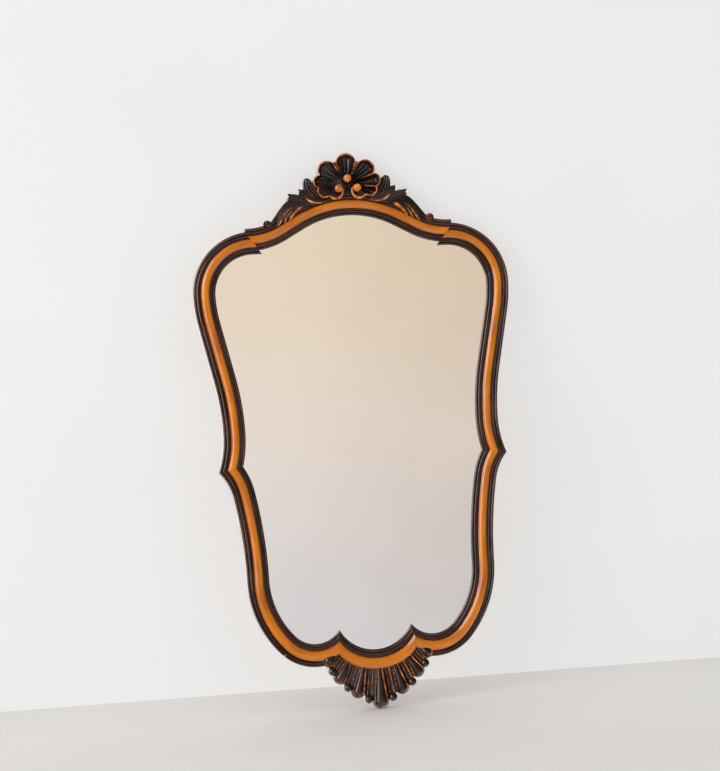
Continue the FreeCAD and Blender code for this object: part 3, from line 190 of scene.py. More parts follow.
scallop_half = math.degrees(math.asin(LOWER_CUSP[0] / SCALLOP_RADIUS))
SCALLOP_EDGE = SightEdge(
    (0.0, SCALLOP_CENTRE[1] - SCALLOP_RADIUS), 180.0, [(SCALLOP_RADIUS, -scallop_half - SCALLOP_EXTRA)]
)
STEP_LINE = (
    np.array([STEP_HALF_WIDTH, SHOULDER_TOP + STEP_MIDDLE]),
    ray(QUARTER - math.radians(STEP_ANGLE)),
)
SIDE_MITRE = line_through(SIDE_CUSP, circles_meet(
    WAIST_CENTRE, WAIST_LOWER_RADIUS - BASE_WIDTH, CUSP_CENTRE, CUSP_RADIUS - BASE_WIDTH, SIDE_CUSP
))
LOWER_MITRE = line_through(LOWER_CUSP, circles_meet(
    FOOT_CENTRE, FOOT_RADIUS + BASE_WIDTH, SCALLOP_CENTRE, SCALLOP_RADIUS + BASE_WIDTH, LOWER_CUSP
))


# Meshes.


def linked(name, data):
    """A new object in the scene."""
    thing = bpy.data.objects.new(name, data)
    bpy.context.scene.collection.objects.link(thing)
    return thing


def new_piece(name, points, faces, material, slot, smooth, body="frame", uv=None, worn=None):
    """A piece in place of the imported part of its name, from points in millimetres.

    uv is a place per point, worn a wear value per point, smooth the angle above which an edge is sharp."""
    mesh = bpy.data.meshes.new(name)
    mesh.from_pydata((np.asarray(points) * MM).tolist(), [], faces)
    mesh.validate()
    if uv is not None:
        layer = mesh.uv_layers.new(name="run")
        loops = np.zeros(len(mesh.loops), dtype=np.int64)
        mesh.loops.foreach_get("vertex_index", loops)
        layer.data.foreach_set("uv", np.asarray(uv, np.float32)[loops].ravel())
    if worn is not None:
        layer = mesh.attributes.new("worn", "FLOAT", "POINT")
        layer.data.foreach_set("value", np.asarray(worn, np.float32))
    mesh.polygons.foreach_set("use_smooth", [True] * len(mesh.polygons))
    mesh.set_sharp_from_angle(angle=smooth)
    mesh.materials.append(material)
    piece = linked(name, mesh)
    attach(piece, body)
    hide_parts(name)


def enclosed(points, corners):
    """Six times the volume inside triangles, negative when they face inwards."""
    a, b, c = (points[corners[:, k]] for k in range(3))
    return np.einsum("ij,ij->i", a, np.cross(b, c)).sum()


def outward_faces(points, faces):
    """The same faces, turned so that the skin encloses a positive volume."""
    corners = np.array([(face[0], *pair) for face in faces for pair in zip(face[1:], face[2:])])
    return points, faces if enclosed(points, corners) > 0 else [face[::-1] for face in faces]


def closed_loft(rows):
    """Points and faces of a closed skin over rows of closed sections."""
    count, width = rows.shape[:2]
    step = np.arange(width)
    after = (step + 1) % width
    faces = []
    for i in range(count - 1):
        a, b = i * width, (i + 1) * width
        faces += np.stack([a + step, a + after, b + after, b + step], axis=-1).tolist()
    faces += [step[::-1].tolist(), ((count - 1) * width + step).tolist()]
    return outward_faces(rows.reshape(-1, 3), faces)


def arc_points(start, middle, end, count):
    """Points on the arc through three points, without the last one."""
    (ax, ay), (bx, by), (cx, cy) = start, middle, end
    a, b, c = (x ** 2 + y ** 2 for x, y in (start, middle, end))
    d = 2 * (ax * (by - cy) + bx * (cy - ay) + cx * (ay - by))
    x = (a * (by - cy) + b * (cy - ay) + c * (ay - by)) / d
    y = (a * (cx - bx) + b * (ax - cx) + c * (bx - ax)) / d
    first, through, last = (math.atan2(v - y, u - x) for u, v in (start, middle, end))
    turn = (last - first) % (2 * math.pi)
    if (through - first) % (2 * math.pi) > turn:
        turn -= 2 * math.pi
    radius = math.hypot(ax - x, ay - y)
    angles = [first + turn * step / count for step in range(count)]
    return [(x + radius * math.cos(angle), y + radius * math.sin(angle)) for angle in angles]


def line_points(start, end, count):
    """Points on a straight line, without the last one."""
    (ax, ay), (bx, by) = start, end
    return [(ax + (bx - ax) * step / count, ay + (by - ay) * step / count) for step in range(count)]


def moulding_section():
    """Closed section as points (reach, depth), from the foot of the sight bead outwards and back.

    Each stretch has its start, its number of steps and, when it is an arc, a point on its way."""
    bead_foot = SIGHT_HEIGHT - BEAD_END / 2
    reed_foot = REED_HEIGHT - (REED_END - BEAD_END) / 3
    fillet_foot = FILLET_HEIGHT - (FILLET_END - QUIRK_END) / 3
    rim_foot = RIM_HEIGHT - (FACE_WIDTH - FILLET_END) / 2
    stretches = [
        ((0.0, RABBET_DEPTH), 2, None),
        ((0.0, bead_foot), 10, (BEAD_END / 2, SIGHT_HEIGHT)),
        ((BEAD_END, bead_foot), 2, None),
        ((BEAD_END, reed_foot), 8, ((BEAD_END + REED_END) / 2, REED_HEIGHT)),
        ((REED_END, reed_foot), 3, None),
        ((TORUS_FIRST - TORUS_FLARE, reed_foot), 2, None),
        ((TORUS_FIRST, SPRING_HEIGHT), 22, ((TORUS_FIRST + TORUS_LAST) / 2, TORUS_HEIGHT)),
        ((TORUS_LAST, SPRING_HEIGHT), 2, None),
        ((QUIRK_END, fillet_foot), 8, ((QUIRK_END + FILLET_END) / 2, FILLET_HEIGHT)),
        ((FILLET_END, rim_foot), 9, ((FILLET_END + FACE_WIDTH) / 2, RIM_HEIGHT)),
        ((FACE_WIDTH, rim_foot), 6, None),
        ((BASE_WIDTH, BASE_HEIGHT), 1, None),
        ((BASE_WIDTH, 0.0), 6, None),
        ((LEDGE_REACH, 0.0), 2, None),
        ((LEDGE_REACH, LEDGE_DEPTH), 3, None),
        ((RABBET_WIDTH, LEDGE_DEPTH), 2, None),
        ((RABBET_WIDTH, RABBET_DEPTH), 2, None),
    ]
    points = []
    for (start, count, middle), (end, _, _) in zip(stretches, stretches[1:] + stretches[:1]):
        points += arc_points(start, middle, end, count) if middle else line_points(start, end, count)
    return np.array(points)


SECTION = moulding_section()
SECTION_RUN = np.concatenate([[0.0], np.cumsum(np.hypot(*np.diff(SECTION, axis=0).T))])


def run_at(reach, depth):
    """Distance along the section, in metres, of the point nearest to (reach, depth)."""
    return SECTION_RUN[np.argmin(np.hypot(SECTION[:, 0] - reach, SECTION[:, 1] - depth))] * MM


def swelled(reach, depth, amount, sink):
    """Widen the torus outwards by a share of its swell and sink; the beads outside it close up."""
    first = TORUS_FIRST + SCALLOP_SINK * sink
    last = TORUS_LAST + TORUS_SWELL * amount + SCALLOP_SINK * sink * SINK_SPREAD
    moved = np.interp(reach, [0.0, TORUS_FIRST, TORUS_LAST, FACE_WIDTH], [0.0, first, last, FACE_WIDTH])
    front = (depth > RABBET_DEPTH + 0.2) & (reach <= FACE_WIDTH)
    return np.where(front, moved, reach)


def joint_cut(edge, line, low, high):
    """Where each section point ends on a joint line; the step's outer corner is cut square."""
    reach = SECTION[:, 0]
    if line is STEP_LINE:
        reach = np.minimum(reach, STEP_SQUARE)
    return crossing(edge, reach, line, low, high)


def moulding_rows(edge, first_line, last_line, count, swell, sink=lambda share: 0.0):
    """Rows of section points between two joint lines: places (count, section, 3) and run distances."""
    reach, depth = SECTION[:, 0], SECTION[:, 1]
    middle = edge.length / 2
    start = np.zeros(len(reach)) if first_line is None else joint_cut(edge, first_line, 0.0, middle)
    end = joint_cut(edge, last_line, middle, edge.length)
    rows, runs = [], []
    for share in np.linspace(0.0, 1.0, count):
        points, outward = edge.at(start + share * (end - start))
        place = points + swelled(reach, depth, swell(share), sink(share))[:, None] * outward
        rows.append(np.stack([place[:, 0], -depth, place[:, 1]], axis=-1))
        runs.append(np.full(len(reach), start.mean() + share * (end.mean() - start.mean())))
    return np.array(rows), np.array(runs)


def both_halves(rows, runs):
    """A piece across the axis from one half, whose first row is on the axis."""
    return np.concatenate([rows[:0:-1] * MIRRORED, rows]), np.concatenate([-runs[:0:-1], runs])


def moulding_piece(name, rows, runs, material):
    uv = np.stack([runs.reshape(-1), np.tile(SECTION_RUN, len(rows))], axis=-1) * MM
    new_piece(name, *closed_loft(rows), material, "frame_wood", FRAME_CREASE, uv=uv)


def make_frame(material):
    """The six lengths of moulding; the upper stiles' backs stand a little forward of the others."""
    still = lambda share: 0.0
    grows = lambda share: float(np.clip((share - SWELL_START) / (1 - SWELL_START), 0.0, 1.0))
    rail = moulding_rows(RAIL_EDGE, None, STEP_LINE, RAIL_ROWS, still)
    moulding_piece("top_rail", *both_halves(*rail), material)
    for word, side in (("right", 1.0), ("left", MIRRORED)):
        rows, runs = moulding_rows(UPPER_EDGE, STEP_LINE, SIDE_MITRE, UPPER_ROWS, still)
        rows[..., 1] = np.minimum(rows[..., 1], -BACK_STEP)
        moulding_piece(word + "_upper_stile", rows * side, runs, material)
        rows, runs = moulding_rows(LOWER_EDGE, SIDE_MITRE, LOWER_MITRE, LOWER_ROWS, grows)
        moulding_piece(word + "_lower_stile", rows * side, runs, material)
    mitre = tuple(part * MIRRORED[:2] for part in LOWER_MITRE)
    full, sunk = (lambda share: 1.0), (lambda share: 1 - share ** 4)
    scallop = moulding_rows(SCALLOP_EDGE, None, mitre, SCALLOP_ROWS, full, sunk)
    moulding_piece("bottom_rail", *both_halves(*scallop), material)


# Nodes.


def linear(red, green, blue):
    """An sRGB colour, 0 to 255, as a linear colour."""
    channel = lambda value: value / 12.92 if value <= 0.04045 else ((value + 0.055) / 1.055) ** 2.4
    return (channel(red / 255), channel(green / 255), channel(blue / 255), 1.0)


class Nodes:
    """A node tree with short calls for adding nodes and linking their sockets."""

    def __init__(self, tree):
        self.tree = tree

    def add(self, kind, links=None, **settings):
        node = self.tree.nodes.new(kind)
        for key, value in settings.items():
            setattr(node, key, value)
        for key, value in (links or {}).items():
            if isinstance(value, bpy.types.NodeSocket):
                self.tree.links.new(value, node.inputs[key])
            else:
                node.inputs[key].default_value = value
        return node

    def new(self, kind, links=None, **settings):
        """The first output of a new node."""
        return self.add(kind, links, **settings).outputs[0]

    def math(self, operation, first, second=0.0):
        return self.new("ShaderNodeMath", {0: first, 1: second}, operation=operation)

    def plus(self, first, second):
        return self.math("ADD", first, second)

    def minus(self, first, second):
        return self.math("SUBTRACT", first, second)

    def times(self, first, second):
        return self.math("MULTIPLY", first, second)

    def apart(self, first, second):
        return self.math("ABSOLUTE", self.minus(first, second))

    def step(self, value, low, high, to_low=0.0, to_high=1.0):
        links = {"Value": value, "From Min": low, "From Max": high, "To Min": to_low, "To Max": to_high}
        return self.new("ShaderNodeMapRange", links, interpolation_type="SMOOTHSTEP")

    def mix(self, share, first, second, blend="MIX"):
        links = {0: share, 6: first, 7: second}
        return self.add("ShaderNodeMix", links, data_type="RGBA", blend_type=blend).outputs[2]

    def ramp(self, value, stops):
        node = self.add("ShaderNodeValToRGB", {"Fac": value})
        band = node.color_ramp
        while len(band.elements) < len(stops):
            band.elements.new(0.5)
        for element, (place, colour) in zip(band.elements, stops):
            element.position = place
            element.color = linear(*colour)
        return node.outputs["Color"]

    def group(self, tree, **links):
        return self.add("ShaderNodeGroup", links, node_tree=tree).outputs

    def noise(self, vector, scale, detail):
        links = {"Vector": vector, "Scale": scale, "Detail": detail}
        return self.add("ShaderNodeTexNoise", links).outputs["Fac"]

    def spot(self):
        """Places in the object's own space."""
        return self.add("ShaderNodeTexCoord").outputs["Object"]

    def parts(self, vector):
        return self.add("ShaderNodeSeparateXYZ", {"Vector": vector}).outputs

    def vector(self, **parts):
        return self.new("ShaderNodeCombineXYZ", parts)


def new_tree(kind, name, inputs, outputs):
    """A node group with named sockets (name, kind) or (name, kind, value): its nodes, inputs and outputs."""
    tree = bpy.data.node_groups.new(name, kind)
    for in_out, sockets in (("INPUT", inputs), ("OUTPUT", outputs)):
        for label, socket_kind, *value in sockets:
            socket = tree.interface.new_socket(label, in_out=in_out, socket_type="NodeSocket" + socket_kind)
            if value:
                socket.default_value = value[0]
    nodes = Nodes(tree)
    return nodes, nodes.add("NodeGroupInput").outputs, nodes.add("NodeGroupOutput").inputs


def grain_group():
    """Wood grain: long fibres and slow drifts of tone along the first axis of the vector."""
    nodes, given, out = new_tree(
        "ShaderNodeTree", "wood grain",
        [("Vector", "Vector"), ("Fineness", "Float", 1.0)], [("Fibre", "Float"), ("Drift", "Float")],
    )
    for label, stretch, detail, roughness, distortion in (
        ("Fibre", (30.0, 900.0, 900.0), 5.0, 0.62, 0.5),
        ("Drift", (14.0, 60.0, 60.0), 4.0, 0.55, 0.8),
    ):
        way = nodes.new("ShaderNodeVectorMath", {0: given["Vector"], 1: stretch}, operation="MULTIPLY")
        noise = nodes.add("ShaderNodeTexNoise", {
            "Vector": way, "Scale": given["Fineness"], "Detail": detail,
            "Roughness": roughness, "Distortion": distortion,
        })
        nodes.tree.links.new(noise.outputs["Fac"], out[label])
    return nodes.tree


def wear_group():
    """Rubbed arrises: a wear value broken up by noise, as a mask."""
    nodes, given, out = new_tree(
        "ShaderNodeTree", "rubbed arris",
        [("Vector", "Vector"), ("Worn", "Float", 0.0), ("Amount", "Float", 0.5), ("Breakup", "Float", 0.6)],
        [("Mask", "Float")],
    )
    both = nodes.plus(nodes.noise(given["Vector"], 90.0, 3.0), nodes.noise(given["Vector"], 520.0, 2.0))
    uneven = nodes.times(nodes.minus(both, 1.0), given["Breakup"])
    level = nodes.plus(nodes.plus(given["Worn"], uneven), nodes.minus(given["Amount"], 1.0))
    mask = nodes.times(nodes.step(level, -0.18, 0.3), nodes.step(given["Worn"], 0.04, 0.2))
    nodes.tree.links.new(mask, out["Mask"])
    return nodes.tree


# Finishes. The tones of a ramp are places on it with their sRGB colours.

AMBER = ((0.3, (164, 79, 3)), (0.46, (206, 113, 6)), (0.6, (227, 131, 10)), (0.76, (244, 159, 30)))
# Deeper ambers, both painted shade: one for the torus's flanks, one for the top of the frame.
AMBER_FLANK_SHADE, AMBER_TOP_SHADE = linear(140, 62, 8), linear(146, 66, 0)
LACQUER = ((0.32, (22, 9, 6)), (0.5, (56, 32, 23)), (0.66, (92, 58, 42)))
RUBBED_LACQUER, CHIPPED_LACQUER = linear(136, 88, 66), linear(206, 128, 52)
BARE_WOOD = ((0.3, (96, 66, 42)), (0.55, (136, 98, 64)), (0.75, (160, 122, 84)))
DARK_CARVING = ((0.34, (14, 6, 4)), (0.52, (42, 24, 18)), (0.68, (74, 47, 36)))
COPPER = ((0.34, (122, 58, 24)), (0.48, (194, 102, 40)), (0.56, (218, 128, 54)), (0.7, (244, 178, 104)))
STAINED_WOOD = ((0.3, (84, 58, 38)), (0.7, (132, 96, 64)))
POLISHED_PEARL = ((0.34, (158, 78, 20)), (0.5, (210, 118, 36)), (0.66, (238, 160, 76)))
SILVER = ((0.3, (246, 246, 245)), (0.7, (251, 251, 250)))
BOARD = ((0.3, (120, 84, 52)), (0.5, (158, 118, 78)), (0.7, (184, 146, 104)))

# The amber's edges: where each begins and ends by its side of the torus, and how far it is shifted from
# the left of the frame to the right; the opening one is shifted further on the right shoulder.
OPENING, OPENING_SHIFT = (0.0003, 0.001), (-0.0016, 0.0021)
CLOSING, CLOSING_SHIFT = (-0.0011, -0.0004), (-0.0015, 0.001)
SHIFT_FROM, SHIFT_TO, SHOULDER_SHIFT = -0.06, 0.06, 0.0014
EDGE_WAVER = 0.0011

# Rubbed crests of the moulding's beads: reach, depth, half width of the rubbing and its strength.
CRESTS = [
    (BEAD_END / 2, SIGHT_HEIGHT, 0.0006, 0.35),
    ((BEAD_END + REED_END) / 2, REED_HEIGHT, 0.0006, 0.35),
    ((QUIRK_END + FILLET_END) / 2, FILLET_HEIGHT, 0.0007, 0.45),
    ((FILLET_END + FACE_WIDTH) / 2 + 0.8, RIM_HEIGHT, 0.0009, 0.6),
]

# A chip in the lacquer on the left foot's rim.
RIM_CHIP = (-0.1350, -0.0140, -0.6513)


def new_material(name):
    material = bpy.data.materials.new(name)
    material.use_nodes = True
    return material, Nodes(material.node_tree), material.node_tree.nodes["Principled BSDF"]


def connect(nodes, shader, **links):
    """Feed the shader's inputs, by their names with _ for a space, from sockets or with plain values."""
    for key, value in links.items():
        socket = shader.inputs[key.replace("_", " ")]
        if isinstance(value, bpy.types.NodeSocket):
            nodes.tree.links.new(value, socket)
        else:
            socket.default_value = value


def bumped(nodes, shader, height, distance, strength):
    links = {"Height": height, "Distance": distance, "Strength": strength}
    connect(nodes, shader, Normal=nodes.new("ShaderNodeBump", links))


def frame_finish(grain, wear):
    """Dark lacquered beads either side of an amber torus, hand finished along its edges, bare behind."""
    material, nodes, shader = new_material("lacquered frame")
    where = nodes.new("ShaderNodeUVMap", uv_map="run")
    around = nodes.parts(where)["Y"]
    spot = nodes.spot()
    place = nodes.parts(spot)
    wood = nodes.group(grain, Vector=where, Fineness=1.0)
    tone = nodes.plus(nodes.times(wood["Drift"], 0.75), nodes.times(wood["Fibre"], 0.25))
    waver = nodes.noise(spot, 60.0, 3.0)
    shaky = nodes.plus(around, nodes.times(nodes.minus(waver, 0.5), EDGE_WAVER))
    first, last = run_at(TORUS_FIRST, SPRING_HEIGHT), run_at(TORUS_LAST, SPRING_HEIGHT)
    shoulder_height = nodes.step(place["Z"], -0.36, -0.2, 0.0, SHOULDER_SHIFT)
    shoulder = nodes.times(nodes.step(place["X"], 0.1, 0.18), shoulder_height)
    shift = nodes.plus(nodes.step(place["X"], SHIFT_FROM, SHIFT_TO, *OPENING_SHIFT), shoulder)
    opens = nodes.step(nodes.minus(shaky, shift), first + OPENING[0], first + OPENING[1])
    shift = nodes.step(place["X"], SHIFT_FROM, SHIFT_TO, *CLOSING_SHIFT)
    closes = nodes.step(nodes.minus(shaky, shift), last + CLOSING[0], last + CLOSING[1])
    amber_share = nodes.times(opens, nodes.minus(1.0, closes))
    # Painted shade: the amber darkens from the torus's middle towards both flanks.
    flank_shade = nodes.step(nodes.apart(shaky, (first + last) / 2), 0.0035, 0.0082, 0.0, 0.58)
    amber = nodes.mix(flank_shade, nodes.ramp(tone, AMBER), AMBER_FLANK_SHADE)
    # Painted shade: towards the top of the frame the amber turns a little deeper and more saturated.
    amber = nodes.mix(nodes.step(place["Z"], -0.12, -0.05, 0.0, 0.14), amber, AMBER_TOP_SHADE)
    worn = 0.0
    for reach, depth, width, strength in CRESTS:
        crest = nodes.step(nodes.apart(around, run_at(reach, depth)), 0.0, width, strength, 0.0)
        worn = nodes.math("MAXIMUM", worn, crest)
    rubbed = nodes.group(wear, Vector=spot, Worn=worn, Amount=0.5, Breakup=1.0)["Mask"]
    dark = nodes.mix(nodes.times(rubbed, 0.6), nodes.ramp(tone, LACQUER), RUBBED_LACQUER)
    away = nodes.add("ShaderNodeVectorMath", {0: spot, 1: RIM_CHIP}, operation="DISTANCE").outputs["Value"]
    chip = nodes.step(nodes.plus(away, nodes.times(waver, 0.006)), 0.0075, 0.0062)
    dark = nodes.mix(chip, dark, CHIPPED_LACQUER)
    back_edge = run_at(BASE_WIDTH, 0.0)
    behind = nodes.step(around, back_edge - 0.4 * MM, back_edge + 0.6 * MM)
    gloss = nodes.plus(0.08, nodes.times(wood["Drift"], 0.14))
    connect(
        nodes, shader, Specular_IOR_Level=0.45,
        Base_Color=nodes.mix(behind, nodes.mix(amber_share, dark, amber), nodes.ramp(tone, BARE_WOOD)),
        Roughness=nodes.plus(gloss, nodes.times(behind, 0.4)),
    )
    bumped(nodes, shader, nodes.plus(wood["Fibre"], nodes.times(waver, 1.5)), 0.00012, 0.6)
    return material


def carved_finish(grain, wear):
    """Near-black carving with copper-coloured rubbed edges; plain stained wood behind."""
    material, nodes, shader = new_material("dark carving")
    spot = nodes.spot()
    worn = nodes.add("ShaderNodeAttribute", attribute_name="worn").outputs["Fac"]
    wood = nodes.group(grain, Vector=spot, Fineness=0.6)
    rubbed = nodes.group(wear, Vector=spot, Worn=worn, Amount=0.6, Breakup=1.1)["Mask"]
    copper = nodes.ramp(nodes.noise(spot, 130.0, 4.0), COPPER)
    colour = nodes.mix(rubbed, nodes.ramp(wood["Drift"], DARK_CARVING), copper)
    behind = nodes.step(nodes.times(nodes.parts(spot)["Y"], -1.0), 0.0075, 0.0045)
    gloss = nodes.plus(0.16, nodes.times(wood["Drift"], 0.16))
    connect(
        nodes, shader, Specular_IOR_Level=0.42,
        Base_Color=nodes.mix(behind, colour, nodes.ramp(wood["Drift"], STAINED_WOOD)),
        Roughness=nodes.plus(gloss, nodes.times(behind, 0.35)),
    )
    bumped(nodes, shader, nodes.noise(spot, 260.0, 3.0), 0.0003, 0.5)
    return material


def pearl_finish(grain):
    material, nodes, shader = new_material("polished pearl")
    spot = nodes.spot()
    wood = nodes.group(grain, Vector=spot, Fineness=1.4)
    patch = nodes.noise(spot, 210.0, 2.0)
    tone = nodes.plus(nodes.times(patch, 0.7), nodes.times(wood["Drift"], 0.3))
    rough = nodes.plus(0.18, nodes.times(patch, 0.18))
    connect(nodes, shader, Base_Color=nodes.ramp(tone, POLISHED_PEARL), Roughness=rough)
    bumped(nodes, shader, patch, 0.0008, 0.7)
    return material


def mirror_finish():
    material, nodes, shader = new_material("silvered glass")
    smear = nodes.noise(nodes.spot(), 7.0, 4.0)
    rough = nodes.step(smear, 0.35, 0.7, 0.012, 0.03)
    connect(nodes, shader, Base_Color=nodes.ramp(smear, SILVER), Roughness=rough, Metallic=1.0)
    return material


def board_finish(grain):
    material, nodes, shader = new_material("backing board")
    upright = nodes.new("ShaderNodeMapping", {"Vector": nodes.spot(), "Rotation": (0.0, QUARTER, 0.0)})
    wood = nodes.group(grain, Vector=upright, Fineness=0.35)
    tone = nodes.plus(nodes.times(wood["Drift"], 0.6), nodes.times(wood["Fibre"], 0.4))
    rough = nodes.step(tone, 0.3, 0.7, 0.7, 0.55)
    connect(nodes, shader, Base_Color=nodes.ramp(tone, BOARD), Roughness=rough)
    bumped(nodes, shader, wood["Fibre"], 0.0002, 0.6)
    return material


def metal_finish(name, dull, bright, roughness):
    material, nodes, shader = new_material(name)
    spot = nodes.spot()
    cloud = nodes.noise(spot, 160.0, 5.0)
    colour = nodes.ramp(cloud, ((0.35, dull), (0.6, bright)))
    rough = nodes.step(cloud, 0.3, 0.7, roughness + 0.15, roughness)
    connect(nodes, shader, Base_Color=colour, Roughness=rough, Metallic=1.0)
    bumped(nodes, shader, nodes.noise(spot, 900.0, 2.0), 0.00005, 0.6)
    return material


# Carvings.

RIM_FOOT, RIM_SIDE_SLOPE, LET_IN, SEAT_LIMIT = 14.6, 9.0, 1.2, 12.0
SHELL_HEART, SHELL_TURNS = np.array([0.0, 19.4]), 720
SHELL_LOBES = [
    ("top", 0.0, 29.0, 15.0),
    ("rib", 33.0, 31.0, 6.0),
    ("upper", 54.5, 34.4, 14.0),
    ("middle", 84.3, 40.2, 10.0),
    ("lower", 105.0, 36.3, 9.3),
    ("link", 110.0, 26.6, 7.0),
    ("curl", 125.0, 16.5, 10.2),
    ("heart", 180.0, 6.0, 8.0),
]
FLUTES = {"top": 5, "upper": 5, "middle": 3, "lower": 3}
HOLLOW_TURN, FLAT_TURN, HOOP_TURN = math.radians(-38.0), math.radians(-45.0), math.radians(112.0)
LOW_TURNS, HOLLOW_FLUTES = (math.radians(108.0), math.radians(118.0)), 9
SHELL_FLOOR, SHELL_RISE, LOW_LOSS, SHELL_LIMIT = 14.5, 7.7, 4.2, 24.0
SCOOP_DEPTH, HOLLOW_DEPTH, REED_CUT, HOLLOW_CUT = 7.4, 8.4, 1.2, 0.6
HOOP_FOOT, HOOP_RISE, HOOP_HALF, RIDGE_RISE, RIDGE_HALF = 22.1, 1.8, 1.5, 1.3, 0.8
MOUND_TOP, MOUND_FALL, MOUND_LEAST = 22.4, 7.0, 15.5
PEARLS = {"top_pearl": (0.0, 7.0), "left_pearl": (-13.5, -7.0), "right_pearl": (13.5, -7.0)}
RECESS_HALF, RECESS_LOW, RECESS_HIGH, RECESS_DEPTH = 12.2, 12.2, 54.6, 6.0
LEAF_BACK, BLADE_ROWS, BLADE_ACROSS = 5.0, 70, 27
SCROLL_HEART, SCROLL_RADIUS, SCROLL_FOOT, SCROLL_PITCH = np.array([118.5, -34.4]), 6.2, 5.6, 3.6
FAN_PITCH, FAN_REACH, FAN_DROP, FAN_TIP = 7.8, 140.5, 5.4, 2.5
FAN_LOBES, FAN_MARGIN = range(-6, 7), 2.0
FAN_FACE, FAN_GROUND, FAN_BACK, FAN_LET_IN = 16.8, 16.0, 3.0, 14.0
FAN_RIB, FAN_RIB_RISE, RIGHT_WEAR, LEFT_WEAR = 17.2, 1.6, (0.42, 0.82), (0.34, 0.44)
GADROON_RADIUS, GADROON_ROOT, GADROON_BORDER, TIP_EXTRA = 10.2, 6.2, 2.3, 1.4
BEAD_RADIUS, BEAD_NECK, BEAD_ROOT, BEAD_BORDER = 6.3, 4.2, 3.4, 0.9
FAN_ROOT = SCALLOP_RADIUS + 26.4

# Blades of the right leaf group: a line of (x, height over the crown, half width), then the depth, the
# crown of the face, the number of reeds, their cut, and the wear of the lower side.
LEAF_BLADES = [
    ([(34, 21, 4.5), (45, 27.5, 9), (52.5, 36, 9.5), (56.5, 44, 8.3), (57.2, 50, 6.6), (56.9, 53.6, 4.2),
      (56.6, 55.3, 0)], 17.6, 2.2, 4, 2.4, 0.0),
    ([(40, 20, 4), (54, 25, 7), (62, 31, 6.5), (67.5, 36, 4.5), (70.6, 40, 0)], 18.4, 1.8, 3, 2.2, 0.0),
    ([(44, 20.5, 3.5), (60, 22.5, 6), (73, 26, 6.2), (80, 28.0, 5.2), (83.6, 28.8, 3.2)],
     18.8, 1.6, 3, 2.2, 0.0),
    ([(72, 26.5, 3.2), (79, 29.0, 3.4), (84.2, 31.4, 2.4), (87.8, 33.8, 0)], 19.6, 1.4, 2, 1.4, 0.0),
    ([(74, 25.5, 3.0), (81, 26.6, 3.2), (85.4, 26.8, 2.2), (87.6, 26.6, 0)], 19.4, 1.4, 2, 1.4, 0.0),
    ([(58, 21, 3.5), (74, 23.5, 5.5), (86, 19.5, 5), (97, 9.5, 4.4), (106.5, -1.5, 3.4), (112.5, -7.5, 2.6),
      (115.5, -9.5, 2.2)], 18.6, 1.5, 3, 2.2, 0.0),
    ([(60, 19.5, 3), (75, 20, 5), (87, 14, 5), (96.5, 3.5, 4.6), (101.5, -6, 3.4), (104.6, -14.5, 0)],
     19.2, 1.6, 3, 2.0, 0.8),
    ([(72, 17, 2), (84, 10.5, 3.2), (91, 1.5, 3), (94.9, -11.5, 0)], 19.4, 1.5, 2, 1.6, 0.7),
    ([(48, 17.5, 2.5), (62, 18.2, 4.2), (75, 12.5, 4.4), (82.5, 4.5, 4), (87.6, -7.6, 0)],
     19.5, 1.5, 2, 1.6, 1.0),
]

# Ribs drawn on the right half: (x, z, thickness), the ridge over the crown and the curl from the shell's
# heart, each with depths and wear that run from its first point to its last.
LEAF_RIDGE = [(31, 20.3, 0.6), (40, 18.4, 1.0), (48, 18.8, 1.5), (55, 21.2, 1.6), (61.5, 26.2, 0.6)]
RIDGE_DEPTHS, RIDGE_WEAR = [19.6, 20.4, 21.0, 21.0, 20.4], [0.2, 0.9, 1.0, 1.0]
SHELL_CURL = [
    (40.6, -14.2, 1.2), (36.4, -17.9, 1.5), (31.9, -17.7, 1.3), (27.2, -16.6, 1.4), (23.4, -18.6, 1.5),
    (18.6, -20.6, 1.7), (14.2, -20.6, 1.8), (9.9, -17.6, 1.8), (7.2, -13.0, 1.7), (7.0, -8.2, 1.6),
    (9.4, -4.6, 1.2),
]
CURL_DEPTHS, CURL_WEAR = [22.4, 21.6, 20.2, 19.4, 19.2, 19.6, 20.6, 21.8, 23.0], [0.9, 1.0, 1.0]


def smoothstep(low, high, value):
    share = np.clip((np.asarray(value, float) - low) / (high - low), 0.0, 1.0)
    return share * share * (3.0 - 2.0 * share)


def quarter_round(share):
    """Rise of a quarter circle, from 0 to 1."""
    return np.sqrt(np.clip(1 - (1 - share) ** 2, 0, 1))


def spline(points, count):
    """A smooth line through points, read at even steps; further columns are carried along."""
    points = np.asarray(points, float)
    knots = np.concatenate([[0.0], np.cumsum(np.hypot(*np.diff(points[:, :2], axis=0).T))])
    slopes = np.gradient(points, knots, axis=0)
    where = np.linspace(0.0, knots[-1], count)
    index = np.clip(np.searchsorted(knots, where, side="right") - 1, 0, len(knots) - 2)
    gap = (knots[index + 1] - knots[index])[:, None]
    share = (where - knots[index])[:, None] / gap
    first, last = points[index], points[index + 1]
    lead, tail = slopes[index] * gap, slopes[index + 1] * gap
    cube, square = share ** 3, share ** 2
    return (2 * cube - 3 * square + 1) * first + (cube - 2 * square + share) * lead \
        + (3 * square - 2 * cube) * last + (cube - square) * tail


RAIL_SPOTS = RAIL_EDGE.at(np.linspace(0.0, RAIL_EDGE.length, 400))[0]


def seat_depth(x, z, clear):
    """Depth of a carving's back: let into the rail where it lies on it, else at a clear depth."""
    spots = np.stack([np.abs(x), z], axis=-1)
    over_rail = np.linalg.norm(spots[..., None, :] - RAIL_SPOTS, axis=-1).min(axis=-1)
    side = RIM_FOOT - (over_rail - FACE_WIDTH) * RIM_SIDE_SLOPE
    return np.clip(side - LET_IN, clear, SEAT_LIMIT)


